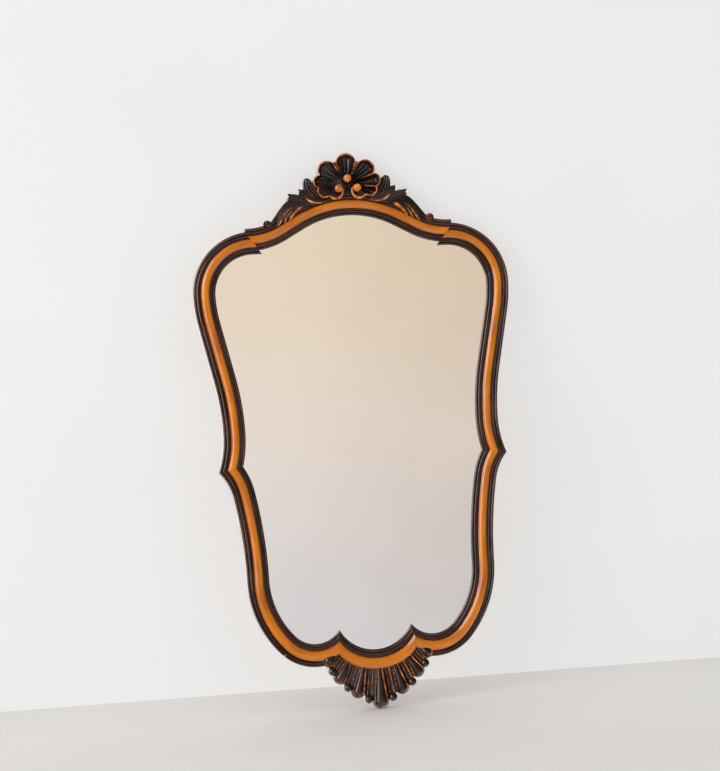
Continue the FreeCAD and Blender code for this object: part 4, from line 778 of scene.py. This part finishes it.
def ringed_skin(heart, turns, rings, wears):
    """A closed skin of rings (radius, depth) about a heart, from the front pole round to the back pole.

    wears holds the wear values of the first rings; the others are not worn."""
    size = len(turns)
    points = [[heart[0], -float(np.mean(rings[0][1])), heart[1]]]
    for radius, depth in rings:
        x, z = heart[0] + radius * np.sin(turns), heart[1] + radius * np.cos(turns)
        points += np.stack([x, -np.broadcast_to(depth, x.shape), z], axis=-1).tolist()
    points.append([heart[0], -float(np.mean(rings[-1][1])), heart[1]])
    step = np.arange(size)
    after = (step + 1) % size
    faces = np.stack([0 * step, 1 + step, 1 + after], axis=-1).tolist()
    for i in range(len(rings) - 1):
        a, b = 1 + i * size, 1 + (i + 1) * size
        faces += np.stack([a + step, b + step, b + after, a + after], axis=-1).tolist()
    pole = len(points) - 1
    faces += np.stack([0 * step + pole, pole - size + after, pole - size + step], axis=-1).tolist()
    worn = np.zeros(len(points))
    worn[1:1 + len(wears) * size] = np.concatenate(wears)
    return (*outward_faces(np.array(points), faces), worn)


def seated_skin(spots, depth, seat, worn):
    """A closed skin: its front over rows of spots (x, z), its back at a seat behind each row's two ends."""
    ends = spots[:, [-1, 0]]
    face = np.stack([spots[..., 0], -depth, spots[..., 1]], axis=-1)
    foot = np.stack([ends[..., 0], -seat, ends[..., 1]], axis=-1)
    worn = np.concatenate([worn, np.zeros(seat.shape)], axis=1)
    return (*closed_loft(np.concatenate([face, foot], axis=1)), worn.reshape(-1))


def joined(skins):
    """Several skins (points, faces, worn) as one."""
    points, faces, worn, start = [], [], [], 0
    for skin in skins:
        points.append(skin[0])
        faces += [[index + start for index in face] for face in skin[1]]
        worn.append(skin[2])
        start += len(skin[0])
    return np.concatenate(points), faces, np.concatenate(worn)


def flipped(skin):
    """A skin mirrored across the axis."""
    points, faces, worn = skin
    return points * MIRRORED, [face[::-1] for face in faces], worn


def both_sides(lobes):
    return lobes + [(name, -angle, reach, radius) for name, angle, reach, radius in lobes if 0 < angle < 180]


def shell_reach(turns):
    """The shell's outline about its heart, and the lobe that makes it, for an array of turns from up."""
    reaches = []
    for _, angle, reach, radius in both_sides(SHELL_LOBES):
        lean = turns - math.radians(angle)
        under = radius ** 2 - (reach * np.sin(lean)) ** 2
        far = reach * np.cos(lean) + np.sqrt(np.maximum(under, 0.0))
        reaches.append(np.where(under > 0, far, 0.0))
    reaches = np.array(reaches)
    return reaches.max(axis=0), reaches.argmax(axis=0)


def shell_skin():
    """The shell: scooped and fluted lobes with a rounded hoop for a rim, mounds under the pearls, and a
    recess in its back; the lobes at the far left share one broad hollow."""
    turns = np.linspace(-math.pi, math.pi, SHELL_TURNS, endpoint=False)
    reach, lobe = shell_reach(turns)
    names = [entry[0] for entry in both_sides(SHELL_LOBES)]
    starts = [k for k in range(SHELL_TURNS) if lobe[k] != lobe[k - 1]]
    place, scoop, flutes = np.zeros(SHELL_TURNS), np.zeros(SHELL_TURNS), np.ones(SHELL_TURNS)
    ridge_angles = []
    for here, following in zip(starts, starts[1:] + [starts[0] + SHELL_TURNS]):
        span = np.arange(here, following) % SHELL_TURNS
        place[span] = np.linspace(-1.0, 1.0, len(span))
        name = names[lobe[here]]
        if name in FLUTES:
            scoop[span] = 1.0
            flutes[span] = FLUTES[name]
            ridge_angles += [turns[here], turns[(following - 1) % SHELL_TURNS]]
    hollow = (scoop > 0) & (turns < HOLLOW_TURN)
    place[hollow] = np.linspace(-1.0, 1.0, hollow.sum())
    flutes[hollow] = HOLLOW_FLUTES
    deep = np.where(hollow, HOLLOW_DEPTH, SCOOP_DEPTH)
    cut = np.where(hollow, HOLLOW_CUT, REED_CUT)
    reed = np.abs(np.sin((place + 1) / 2 * math.pi * flutes)) ** 0.7
    low = smoothstep(*LOW_TURNS, np.abs(turns))
    hooped = np.abs(turns) < HOOP_TURN

    radii = [share * (reach - 4.6) for share in np.linspace(0.02, 1.0, 40)]
    radii += [reach - inset for inset in np.linspace(4.4, 0.0, 15)]
    rings, wears = [], []
    for radius in radii:
        x, z = radius * np.sin(turns), radius * np.cos(turns)
        inside, share = reach - radius, radius / reach
        crest = SHELL_FLOOR + (SHELL_RISE - LOW_LOSS * low) * smoothstep(0.05, 0.92, share)
        bowl = scoop * deep * (1 - np.abs(place) ** 2.6)
        bowl *= smoothstep(0.06, 0.5, share) * smoothstep(2.4, 6.4, inside)
        reeds = scoop * cut * (reed - 0.6) * smoothstep(0.12, 0.3, share) * smoothstep(2.8, 7.0, inside)
        ridge = np.zeros(SHELL_TURNS)
        for angle in ridge_angles:
            kept = 0.25 if angle < FLAT_TURN else 1.0
            line = kept * np.exp(-(radius * np.sin(turns - angle) / RIDGE_HALF) ** 2)
            ridge = np.maximum(ridge, np.where(np.cos(turns - angle) > 0, line, 0.0))
        ridge *= smoothstep(0.28, 0.62, share)
        depth = crest - bowl + reeds + RIDGE_RISE * ridge * smoothstep(0.0, 3.0, inside)
        round_off = np.sqrt(np.clip(1 - ((inside - HOOP_HALF) / HOOP_HALF) ** 2, 0.0, 1.0))
        hoop = np.maximum(depth, HOOP_FOOT + HOOP_RISE * round_off)
        depth = np.where((inside < 2 * HOOP_HALF) & hooped, hoop, depth)
        depth = np.maximum(depth, seat_depth(SHELL_HEART[0] + x, SHELL_HEART[1] + z, 0.0) + 1.6)
        for pearl_x, pearl_z in PEARLS.values():
            mound = MOUND_TOP - MOUND_FALL * smoothstep(4.4, 8.0, np.hypot(x - pearl_x, z - pearl_z))
            depth = np.maximum(depth, np.where(mound > MOUND_LEAST, mound, 0.0))
        rings.append((radius, np.minimum(depth, SHELL_LIMIT)))
        wear = np.where(hooped, np.exp(-((inside - 1.6) / 0.95) ** 2), 0.0)
        wears.append(np.maximum(wear, 0.8 * ridge * smoothstep(0.35, 0.75, share)))

    rings += [(reach - inset, depth) for depth, inset in ((19.5, 0.0), (13.0, 0.4), (6.5, 0.9))]
    tall = np.where(np.cos(turns) > 0, RECESS_HIGH - SHELL_HEART[1], SHELL_HEART[1] - RECESS_LOW)
    limit_x = RECESS_HALF / np.maximum(np.abs(np.sin(turns)), 1e-6)
    limit_z = tall / np.maximum(np.abs(np.cos(turns)), 1e-6)
    outer = reach - 1.4
    recess = np.minimum(np.minimum(limit_x, limit_z), outer)
    for share in (0.0, 0.5, 0.999):
        radius = outer + share * (recess - outer)
        x, z = SHELL_HEART[0] + radius * np.sin(turns), SHELL_HEART[1] + radius * np.cos(turns)
        rings.append((radius, seat_depth(x, z, 0.0)))
    rings += [(recess, RECESS_DEPTH), (recess * 0.4, RECESS_DEPTH)]
    return ringed_skin(SHELL_HEART, turns, rings, wears)


def raised(line):
    """A line given as (x, height over the crown, half width) in the frame's own heights."""
    return [(x, height + CROWN_HEIGHT, half) for x, height, half in line]


def leaf_blade(line, depth, rise, reeds, cut, band, lift):
    """A leaf's blade: a crowned face cut into reeds, thin at its edges, worn along its lower side; its back
    is lifted a little off its seat."""
    line = spline(raised(line), BLADE_ROWS)
    place, half = line[:, :2], np.maximum(line[:, 2], 0.06)[:, None]
    heading = np.gradient(place, axis=0)
    heading /= np.linalg.norm(heading, axis=1)[:, None]
    sideways = np.stack([-heading[:, 1], heading[:, 0]], axis=-1)
    aside = np.sin(np.linspace(-QUARTER, QUARTER, BLADE_ACROSS))[None, :]
    spots = place[:, None, :] + (aside * half)[..., None] * sideways[:, None, :]
    share = np.linspace(0.0, 1.0, BLADE_ROWS)[:, None]
    broad = np.minimum(half / 5.0, 1.0)
    fade = smoothstep(0.0, 0.2, share) * smoothstep(1.0, 0.88, share)
    reed = np.abs(np.sin(math.pi * reeds * (aside + 1) / 2)) ** 0.6
    face = depth + rise * (1 - aside ** 2) * broad + cut * (reed - 0.6) * fade * broad
    face = face - 0.9 * aside ** 8 + 0.6 * smoothstep(0.7, 1.0, share)
    edge = np.exp(-((np.abs(aside) - 0.95) / 0.07) ** 2)
    lower = smoothstep(-0.05, -0.45, aside) * smoothstep(0.3, 0.55, share)
    worn = band * lower * (0.45 + 0.55 * reed) + 0.28 * edge * smoothstep(0.15, 0.5, share)
    ends = spots[:, [-1, 0]]
    seat = seat_depth(ends[..., 0], ends[..., 1], LEAF_BACK) + lift
    return seated_skin(spots, face, np.minimum(seat, face[:, [-1, 0]] - 0.4), np.clip(worn, 0.0, 1.0))


def leaf_skin():
    """Each blade's back lies a little over the one before, so that no two backs share a plane."""
    return joined([leaf_blade(*shape, BACK_STEP * number) for number, shape in enumerate(LEAF_BLADES)])


def scroll_skin():
    """The volute at the end of a trailing leaf: one turn of a roll that winds in to its eye."""
    turns = np.linspace(-math.pi, math.pi, 96, endpoint=False)
    rings, wears = [], []
    for radius in np.linspace(0.3, SCROLL_RADIUS, 26):
        roll = 0.5 + 0.5 * np.cos(2 * math.pi * (radius / SCROLL_PITCH + turns / (2 * math.pi)))
        rings.append((radius, 19.2 + 2.8 * roll - 2.0 * (radius / SCROLL_RADIUS) ** 4))
        wears.append(0.42 * roll ** 3)
    x, z = SCROLL_HEART[0] + SCROLL_FOOT * np.sin(turns), SCROLL_HEART[1] + SCROLL_FOOT * np.cos(turns)
    rings += [(SCROLL_RADIUS, 14.0), (SCROLL_FOOT, seat_depth(x, z, LEAF_BACK))]
    return ringed_skin(SCROLL_HEART, turns, rings, wears)


def fan_seat(spots):
    """The fan is let into the scallop's outer beads and stands clear of the wall beyond them."""
    reach = np.hypot(spots[..., 0] - SCALLOP_CENTRE[0], spots[..., 1] - SCALLOP_CENTRE[1]) - SCALLOP_RADIUS
    return np.clip(FAN_LET_IN - (reach - FACE_WIDTH) * RIM_SIDE_SLOPE, FAN_BACK, SEAT_LIMIT)


def fan_lines(number):
    """A lobe's stations along its ray, half widths there, end radius and the end's middle.

    Even lobes are gadroons, odd ones beads on a stem."""
    broad, tip = number % 2 == 0, number == 0
    end = FAN_REACH - FAN_DROP * abs(number) + (FAN_TIP if tip else 0.0)
    radius = (GADROON_RADIUS + (TIP_EXTRA if tip else 0.0)) if broad else BEAD_RADIUS
    root, neck = (GADROON_ROOT, radius) if broad else (BEAD_ROOT, BEAD_NECK)
    middle = end - radius
    around = np.linspace(0.0, QUARTER, 26)
    stem = np.linspace(FAN_ROOT, middle, 30)[:-1]
    along = np.clip((stem - FAN_ROOT) / (middle - FAN_ROOT), 0, 1)
    stem_half = root + (neck - root) * along ** 1.2
    if not broad:
        gone = np.clip((stem - (middle - radius)) / radius, 0, 1)
        stem_half = np.maximum(stem_half * (1 - 0.25 * gone), quarter_round(gone) * radius)
    distance = np.concatenate([stem, middle + radius * np.sin(around)])
    half = np.maximum(np.concatenate([stem_half, radius * np.cos(around)]), 0.05)
    return distance, half, radius, middle


def fan_spots(number, distance, across):
    """Places (x, z) at distances along a lobe's ray and to its right."""
    turn = math.radians(FAN_PITCH) * number
    along, sideways = ray(turn - QUARTER), ray(turn)
    return SCALLOP_CENTRE + distance[..., None] * along + across[..., None] * sideways


def fan_lobe(number):
    distance, half, radius, middle = fan_lines(number)
    distance, half = distance[:, None], half[:, None]
    aside = np.sin(np.linspace(-QUARTER, QUARTER, 31))[None, :]
    across = half * aside
    face = FAN_FACE + smoothstep(FAN_ROOT - 1.0, FAN_ROOT + 12.0, distance)
    if number % 2 == 0:
        rounded = radius - np.hypot(distance - middle, across)
        inside = np.maximum(np.where(distance > middle, rounded, half - np.abs(across)), 0.0)
        border = GADROON_BORDER + 1.0
        dome = quarter_round(np.clip((inside - border) / np.maximum(half - border, 0.6), 0, 1))
        swell = 2.2 + 3.4 * smoothstep(FAN_ROOT, middle, distance)
        depth = face + swell * dome - 1.8 * smoothstep(1.8, 0.0, inside)
    else:
        ball = np.sqrt(np.clip(radius ** 2 - (distance - middle) ** 2 - across ** 2, 0, None))
        band = face + 0.7 * np.abs(aside)
        depth = np.where(ball > 0, np.maximum(16.5 + 1.1 * ball, band * (distance < middle)), band)
    spots = fan_spots(number, distance, across)
    seat = fan_seat(spots[:, [-1, 0]]) + BACK_STEP * (number % 2)
    return seated_skin(spots, depth, seat, np.zeros(depth.shape))


def fan_ground():
    """The plate that carries the fan's lobes, raised a little in each gap."""
    widest = FAN_LOBES[-1] * FAN_PITCH + FAN_MARGIN
    turns = np.radians(np.linspace(-widest, widest, 240))[:, None]
    number = turns / math.radians(FAN_PITCH)
    first, outer = FAN_ROOT + 0.2, FAN_REACH - FAN_DROP * np.abs(number) - 9.0
    share = np.linspace(0.0, 1.0, 24)[None, :]
    distance = first + share * (outer - first)
    rise = np.exp(-(np.abs(number - np.floor(number) - 0.5) / 0.12) ** 2)
    depth = FAN_GROUND + 1.2 * rise * smoothstep(0.0, 0.25, share) * smoothstep(1.0, 0.88, share)
    spots = SCALLOP_CENTRE + distance[..., None] * np.stack([np.sin(turns), -np.cos(turns)], axis=-1)
    return seated_skin(spots, depth, fan_seat(spots[:, [-1, 0]]), np.zeros(depth.shape))


def make_carvings(material):
    def carve(name, skin):
        points, faces, worn = skin
        new_piece(name, points, faces, material, "carved_wood", CARVED_CREASE, worn=worn)

    carve("crest_shell", shell_skin())
    leaf, scroll = leaf_skin(), scroll_skin()
    for word, leaf, scroll in (("right", leaf, scroll), ("left", flipped(leaf), flipped(scroll))):
        carve(word + "_acanthus_leaf", leaf)
        carve(word + "_leaf_scroll", scroll)
    carve("bottom_fan", joined([fan_ground()] + [fan_lobe(number) for number in FAN_LOBES]))


# Ribs and screws, made by geometry nodes and settled to plain meshes.


def shape_tree(name, inputs):
    """A geometry tree with named inputs besides its geometry and finish."""
    shape = ("Geometry", "Geometry")
    return new_tree("GeometryNodeTree", name, [shape] + inputs + [("Finish", "Material")], [shape])


def end_tree(nodes, given, out, shape):
    """Close a geometry tree: its shape as plain geometry with the given finish."""
    whole = nodes.new("GeometryNodeRealizeInstances", {"Geometry": shape})
    done = nodes.new("GeometryNodeSetMaterial", {"Geometry": whole, "Material": given["Finish"]})
    nodes.tree.links.new(done, out["Geometry"])
    return nodes.tree


def grown(name, mesh, tree, **values):
    """A piece that a geometry tree makes over a mesh, as a plain mesh that faces outwards."""
    piece = linked(name, mesh)
    modifier = piece.modifiers.new("shape", "NODES")
    modifier.node_group = tree
    for item in tree.interface.items_tree:
        if item.item_type == "SOCKET" and item.in_out == "INPUT" and item.name in values:
            modifier[item.identifier] = values[item.name]
    state = bpy.context.evaluated_depsgraph_get()
    mesh = bpy.data.meshes.new_from_object(piece.evaluated_get(state))
    piece.modifiers.clear()
    piece.data = mesh
    points = np.array([vertex.co[:] for vertex in mesh.vertices])
    mesh.calc_loop_triangles()
    if enclosed(points, np.array([triangle.vertices[:] for triangle in mesh.loop_triangles])) < 0:
        mesh.flip_normals()
    return piece


def rib_tree():
    """Round ribs along drawn lines; each point of a line has its own thickness."""
    nodes, given, out = shape_tree("rib along a line", [("Swell", "Float", 1.0), ("Sides", "Int", 10)])
    line = nodes.new("GeometryNodeMeshToCurve", {"Mesh": given["Geometry"]})
    thick = nodes.new("GeometryNodeInputNamedAttribute", {"Name": "thick"}, data_type="FLOAT")
    ring = nodes.new("GeometryNodeCurvePrimitiveCircle", {"Resolution": given["Sides"], "Radius": 1.0})
    skin = nodes.new("GeometryNodeCurveToMesh", {
        "Curve": line, "Profile Curve": ring, "Scale": nodes.times(thick, given["Swell"]), "Fill Caps": True,
    })
    return end_tree(nodes, given, out, nodes.new("GeometryNodeSetShadeSmooth", {"Geometry": skin}))


def rib_piece(name, lines, tree, material):
    """One piece of ribs; a line is points (x, depth, z, thickness, wear) in millimetres."""
    edges, start = [], 0
    for line in lines:
        edges += [(start + k, start + k + 1) for k in range(len(line) - 1)]
        start += len(line)
    x, depth, z, thick, worn = np.concatenate(lines).T
    mesh = bpy.data.meshes.new(name)
    mesh.from_pydata((np.stack([x, -depth, z], axis=-1) * MM).tolist(), edges, [])
    for label, values in (("thick", thick * MM), ("worn", worn)):
        layer = mesh.attributes.new(label, "FLOAT", "POINT")
        layer.data.foreach_set("value", values.astype(np.float32))
    piece = grown(name, mesh, tree, Swell=1.0, Sides=10, Finish=material)
    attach(piece, "frame")


def drawn(points, depths, wears, count):
    """A rib's line from points (x, z, thickness), and the same line mirrored."""
    x, z, thick = spline(points, count).T
    even = lambda values: np.interp(np.linspace(0, 1, count), np.linspace(0, 1, len(values)), values)
    line = np.stack([x, even(depths), z, np.maximum(thick, 0.1), even(wears)], axis=-1)
    return [line, line * np.array([-1.0, 1.0, 1.0, 1.0, 1.0])]


def fan_ribs(number):
    """Rims of a fan lobe: one round a gadroon, or one on each edge of a bead's stem."""
    distance, half, radius, middle = fan_lines(number)
    broad = number % 2 == 0
    inset = GADROON_BORDER if broad else BEAD_BORDER
    kept = distance < (math.inf if broad else middle - 0.8 * radius)
    distance, half = distance[kept], np.maximum(half[kept] - inset, 0.0)
    if broad:
        drawn_in = middle + (distance - middle) * (radius - inset) / radius
        distance = np.where(distance > middle, drawn_in, distance)
    rise = smoothstep(FAN_ROOT, FAN_ROOT + 14.0, distance)
    thick = (0.6 + 0.4 * rise) if broad else (0.5 + 0.25 * rise)
    sides = []
    for side, wear in zip((-1, 1), RIGHT_WEAR if number >= 0 else LEFT_WEAR):
        x, z = fan_spots(number, distance, side * half).T
        depth = FAN_RIB + FAN_RIB_RISE * rise
        sides.append(np.stack([x, depth, z, thick, np.full(len(x), wear)], axis=-1))
    return [np.concatenate([sides[0], sides[1][-2::-1]])] if broad else sides


def make_ribs(material):
    tree = rib_tree()
    curl = [(x + SHELL_HEART[0], z + SHELL_HEART[1], thick) for x, z, thick in SHELL_CURL]
    rib_piece("shell_curls", drawn(curl, CURL_DEPTHS, CURL_WEAR, 90), tree, material)
    rib_piece("leaf_ridges", drawn(raised(LEAF_RIDGE), RIDGE_DEPTHS, RIDGE_WEAR, 50), tree, material)
    rib_piece("fan_ribs", [line for number in FAN_LOBES for line in fan_ribs(number)], tree, material)


def screw_tree():
    """Slotted screws at given points, heads to the wall; each slot is turned its own way."""
    nodes, given, out = shape_tree("slotted screws", [
        ("Head radius", "Float", 0.0028), ("Head height", "Float", 0.0011),
        ("Shank radius", "Float", 0.0015), ("Shank length", "Float", 0.0087), ("Seed", "Int", 3),
    ])
    radius, height, length = given["Head radius"], given["Head height"], given["Shank length"]

    def cylinder(sides, radius, depth):
        return nodes.new("GeometryNodeMeshCylinder", {"Vertices": sides, "Radius": radius, "Depth": depth})

    def raise_by(shape, rise):
        return nodes.new("GeometryNodeTransform", {"Geometry": shape, "Translation": nodes.vector(Z=rise)})

    slot_size = nodes.vector(X=nodes.times(radius, 2.4), Y=nodes.times(radius, 0.26), Z=height)
    slot = raise_by(nodes.new("GeometryNodeMeshCube", {"Size": slot_size}), nodes.times(height, 0.55))
    meshes = {"Mesh 1": cylinder(32, radius, height), "Mesh 2": slot}
    head = nodes.new("GeometryNodeMeshBoolean", meshes, operation="DIFFERENCE")
    shank = cylinder(20, given["Shank radius"], length)
    shank = raise_by(shank, nodes.times(nodes.plus(length, height), -0.49))
    both = nodes.add("GeometryNodeJoinGeometry")
    for shape in (head, shank):
        nodes.tree.links.new(shape, both.inputs["Geometry"])
    limits = {2: 0.0, 3: math.pi, 8: given["Seed"]}
    spin = nodes.add("FunctionNodeRandomValue", limits, data_type="FLOAT").outputs[1]
    turn = nodes.new("FunctionNodeEulerToRotation", {"Euler": nodes.vector(X=-QUARTER, Y=spin)})
    spread = nodes.new("GeometryNodeInstanceOnPoints", {
        "Points": given["Geometry"], "Instance": both.outputs["Geometry"], "Rotation": turn,
    })
    return end_tree(nodes, given, out, spread)


def screw_piece(name, spots, tree, material, **sizes):
    """Screws whose heads lie with their middles at spots (x, depth, z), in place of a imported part."""
    mesh = bpy.data.meshes.new(name)
    mesh.from_pydata([(x * MM, -depth * MM, z * MM) for x, depth, z in spots], [], [])
    piece = grown(name, mesh, tree, Finish=material, **sizes)
    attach(piece, "frame")
    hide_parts(name)


def dress(finish, *names):
    """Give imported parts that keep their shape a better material."""
    for name in names:
        for slot in NODES[name].material_slots:
            slot.material = finish


BUTTON_SPOTS = [
    (-84.321, -37.852), (84.321, -37.852), (-198.301, -211.223), (198.301, -211.223),
    (-161.295, -539.827), (161.295, -539.827), (0.0, -665.811),
]
BUTTON_HEAD, HANGER_HEAD, HANGER_HEIGHTS, HANGER_SEED = 0.95, 4.15, (39.4, 45.9), 8
HANGER_SIZES = {"Head radius": 0.0022, "Head height": 0.0009, "Shank radius": 0.0013, "Shank length": 0.0064}

GRAIN, WEAR = grain_group(), wear_group()
make_frame(frame_finish(GRAIN, WEAR))
CARVED = carved_finish(GRAIN, WEAR)
make_carvings(CARVED)
make_ribs(CARVED)
BUTTONS = [name for name in NODES if name.startswith("turn_button_")]
dress(pearl_finish(GRAIN), *PEARLS)
dress(mirror_finish(), "mirror_glass")
dress(board_finish(GRAIN), "backing_board", "frame_dowels", "crest_dowels", "fan_dowels")
BRASS = metal_finish("aged brass", (120, 92, 44), (186, 150, 84), 0.32)
dress(BRASS, "hanger_plate", "hanger_ring", *BUTTONS)
STEEL = metal_finish("screw steel", (96, 92, 88), (158, 154, 148), 0.35)
SCREWS = screw_tree()
screw_piece("button_screws", [(x, BUTTON_HEAD, z) for x, z in BUTTON_SPOTS], SCREWS, STEEL)
hanger_spots = [(0.0, HANGER_HEAD, z) for z in HANGER_HEIGHTS]
screw_piece("hanger_screws", hanger_spots, SCREWS, STEEL, Seed=HANGER_SEED, **HANGER_SIZES)


# Camera, floor, wall and light.

CAMERA_PLACE = Vector((-0.3504, -2.1495, -0.29995))
CAMERA_AZIMUTH, CAMERA_ELEVATION, CAMERA_ROLL = (math.radians(turn) for turn in (-9.328, -0.738, -3.838))
LENS, SENSOR = 70.0, 36.0
FLOOR, FLOOR_FRONT = -0.7380, -2.6
WALL_LEFT, WALL_RIGHT = (-1.6, 0.366), (1.6, 0.0025)
WALL_TOUCH, WALL_RISE = Vector((0.0, 0.005, 0.064)), 3.0

# The room that glossy surfaces show, by direction: warm walls, shaded to the right and dark at the far
# right and overhead; on the left a sill with a window pane over it; sunlit floor; bright wall behind.
WALLS = ((0.0, (221, 218, 220)), (0.5, (238, 226, 217)), (1.0, (238, 220, 197)))
WALL_SHADE, FAR_RIGHT, OVERHEAD = (0.85, 0.81, 0.77, 1.0), (0.16, 0.15, 0.14, 1.0), (0.22, 0.22, 0.23, 1.0)
SILL, UNDER_SILL, LOW_SILL = (1.1, 1.05, 1.05, 1.0), (0.92, 0.89, 0.87, 1.0), (0.6, 0.58, 0.57, 1.0)
SUNLIT, PANE, BEHIND = (1.3, 1.35, 1.45, 1.0), (5.6, 6.0, 6.6, 1.0), (4.2, 3.95, 3.9, 1.0)
EVEN_LIGHT, SEEN_SKY, BLACK = (0.84, 0.85, 0.86, 1.0), (0.88, 0.87, 0.86, 1.0), (0.0, 0.0, 0.0, 1.0)
WINDOW_PLACE, WINDOW_AIM = Vector((-1.9, -1.2, 0.4)), Vector((0.0, 0.0, -0.33))
WINDOW_SIZE, WINDOW_POWER, WINDOW_COLOUR = (0.9, 1.7), 13.0, (1.0, 0.97, 0.93)


def make_camera():
    level = math.cos(CAMERA_ELEVATION)
    back = Vector((
        math.sin(CAMERA_AZIMUTH) * level, -math.cos(CAMERA_AZIMUTH) * level, math.sin(CAMERA_ELEVATION)
    ))
    right = (-back).cross(Vector((0, 0, 1))).normalized()
    up = right.cross(-back)
    turned_right = math.cos(CAMERA_ROLL) * right + math.sin(CAMERA_ROLL) * up
    turned_up = -math.sin(CAMERA_ROLL) * right + math.cos(CAMERA_ROLL) * up
    data = bpy.data.cameras.new("camera")
    data.lens, data.sensor_width = LENS, SENSOR
    camera = linked("camera", data)
    turn = Matrix((turned_right, turned_up, back)).transposed().to_4x4()
    camera.matrix_world = Matrix.Translation(CAMERA_PLACE) @ turn
    bpy.context.scene.camera = camera


def sheet_of(name, corners, material):
    mesh = bpy.data.meshes.new(name)
    mesh.from_pydata(corners, [], [(0, 1, 2, 3)])
    mesh.materials.append(material)
    sheet = linked(name, mesh)


def paint(name, colour, patch, one_sided, glow):
    """A plain painted surface that the mirror does not show, part of it evenly lit whatever falls on it."""
    material, nodes, shader = new_material(name)
    tone = nodes.ramp(nodes.noise(nodes.spot(), 1.6, 3.0), ((0.3, colour), (0.7, patch)))
    connect(
        nodes, shader, Roughness=0.9, Specular_IOR_Level=0.1,
        Base_Color=nodes.mix(glow, tone, BLACK), Emission_Color=tone, Emission_Strength=glow,
    )
    ray_kind = nodes.add("ShaderNodeLightPath").outputs
    if one_sided:
        facing = nodes.minus(1.0, nodes.add("ShaderNodeNewGeometry").outputs["Backfacing"])
        seen = nodes.times(ray_kind["Is Camera Ray"], facing)
    else:
        seen = nodes.minus(1.0, ray_kind["Is Glossy Ray"])
    clear = nodes.new("ShaderNodeBsdfTransparent")
    both = nodes.new("ShaderNodeMixShader", {0: seen, 1: clear, 2: shader.outputs["BSDF"]})
    nodes.tree.links.new(both, nodes.tree.nodes["Material Output"].inputs["Surface"])
    return material


def make_room():
    """The mirror stands on the floor, upright in its own frame, and the wall leans to touch its top."""
    (ax, ay), (bx, by) = WALL_LEFT, WALL_RIGHT
    rise = (WALL_TOUCH - Vector(((ax + bx) / 2, (ay + by) / 2, FLOOR))) * WALL_RISE
    wall = paint("pale wall", (240, 239, 238), (244, 243, 242), True, 0.6)
    floor = paint("pale floor", (222, 218, 214), (228, 225, 222), False, 0.1)
    left, right = Vector((ax, ay, FLOOR)), Vector((bx, by, FLOOR))
    sheet_of("wall", [left, right, right + rise, left + rise], wall)
    sheet_of("floor", [(ax, FLOOR_FRONT, FLOOR), (bx, FLOOR_FRONT, FLOOR), right, left], floor)


def make_light():
    """A bright room: even light all round, a soft window on the left, and warm walls in the mirror."""
    world = bpy.data.worlds.new("room")
    bpy.context.scene.world = world
    world.use_nodes = True
    nodes = Nodes(world.node_tree)
    way = nodes.parts(nodes.add("ShaderNodeTexCoord").outputs["Generated"])

    def within(axis, low, high):
        return nodes.step(way[axis], low, high)

    shown = nodes.ramp(within("Z", -0.17, 0.13), WALLS)
    shown = nodes.mix(within("X", 0.03, 0.3), shown, nodes.mix(1.0, shown, WALL_SHADE, "MULTIPLY"))
    shown = nodes.mix(within("X", 0.32, 0.6), shown, FAR_RIGHT)
    shown = nodes.mix(within("Z", 0.15, 0.36), shown, OVERHEAD)
    under_sill = nodes.mix(within("Z", -0.24, -0.56), UNDER_SILL, LOW_SILL)
    sill = nodes.mix(within("Z", -0.16, -0.26), SILL, under_sill)
    shown = nodes.mix(within("X", -0.24, -0.34), shown, sill)
    shown = nodes.mix(nodes.times(within("Z", -0.3, -0.5), within("X", -0.3, -0.05)), shown, SUNLIT)
    pane = nodes.times(within("X", -0.58, -0.68), within("Z", -0.25, -0.1))
    shown = nodes.mix(nodes.times(pane, within("X", -0.985, -0.93)), shown, PANE)
    shown = nodes.mix(nodes.times(within("Y", 0.1, 0.4), within("X", -0.1, -0.3)), shown, BEHIND)
    ray_kind = nodes.add("ShaderNodeLightPath").outputs
    lit = nodes.mix(ray_kind["Is Glossy Ray"], EVEN_LIGHT, shown)
    seen = nodes.mix(ray_kind["Is Camera Ray"], lit, SEEN_SKY)
    nodes.tree.links.new(seen, nodes.tree.nodes["Background"].inputs["Color"])
    data = bpy.data.lights.new("window", "AREA")
    data.shape = "RECTANGLE"
    data.size, data.size_y = WINDOW_SIZE
    data.energy, data.color = WINDOW_POWER, WINDOW_COLOUR
    window = linked("window", data)
    turn = (WINDOW_AIM - WINDOW_PLACE).to_track_quat("-Z", "Y").to_matrix().to_4x4()
    window.matrix_world = Matrix.Translation(WINDOW_PLACE) @ turn


make_camera()
make_room()
make_light()
bpy.context.scene.view_settings.view_transform = "Standard"
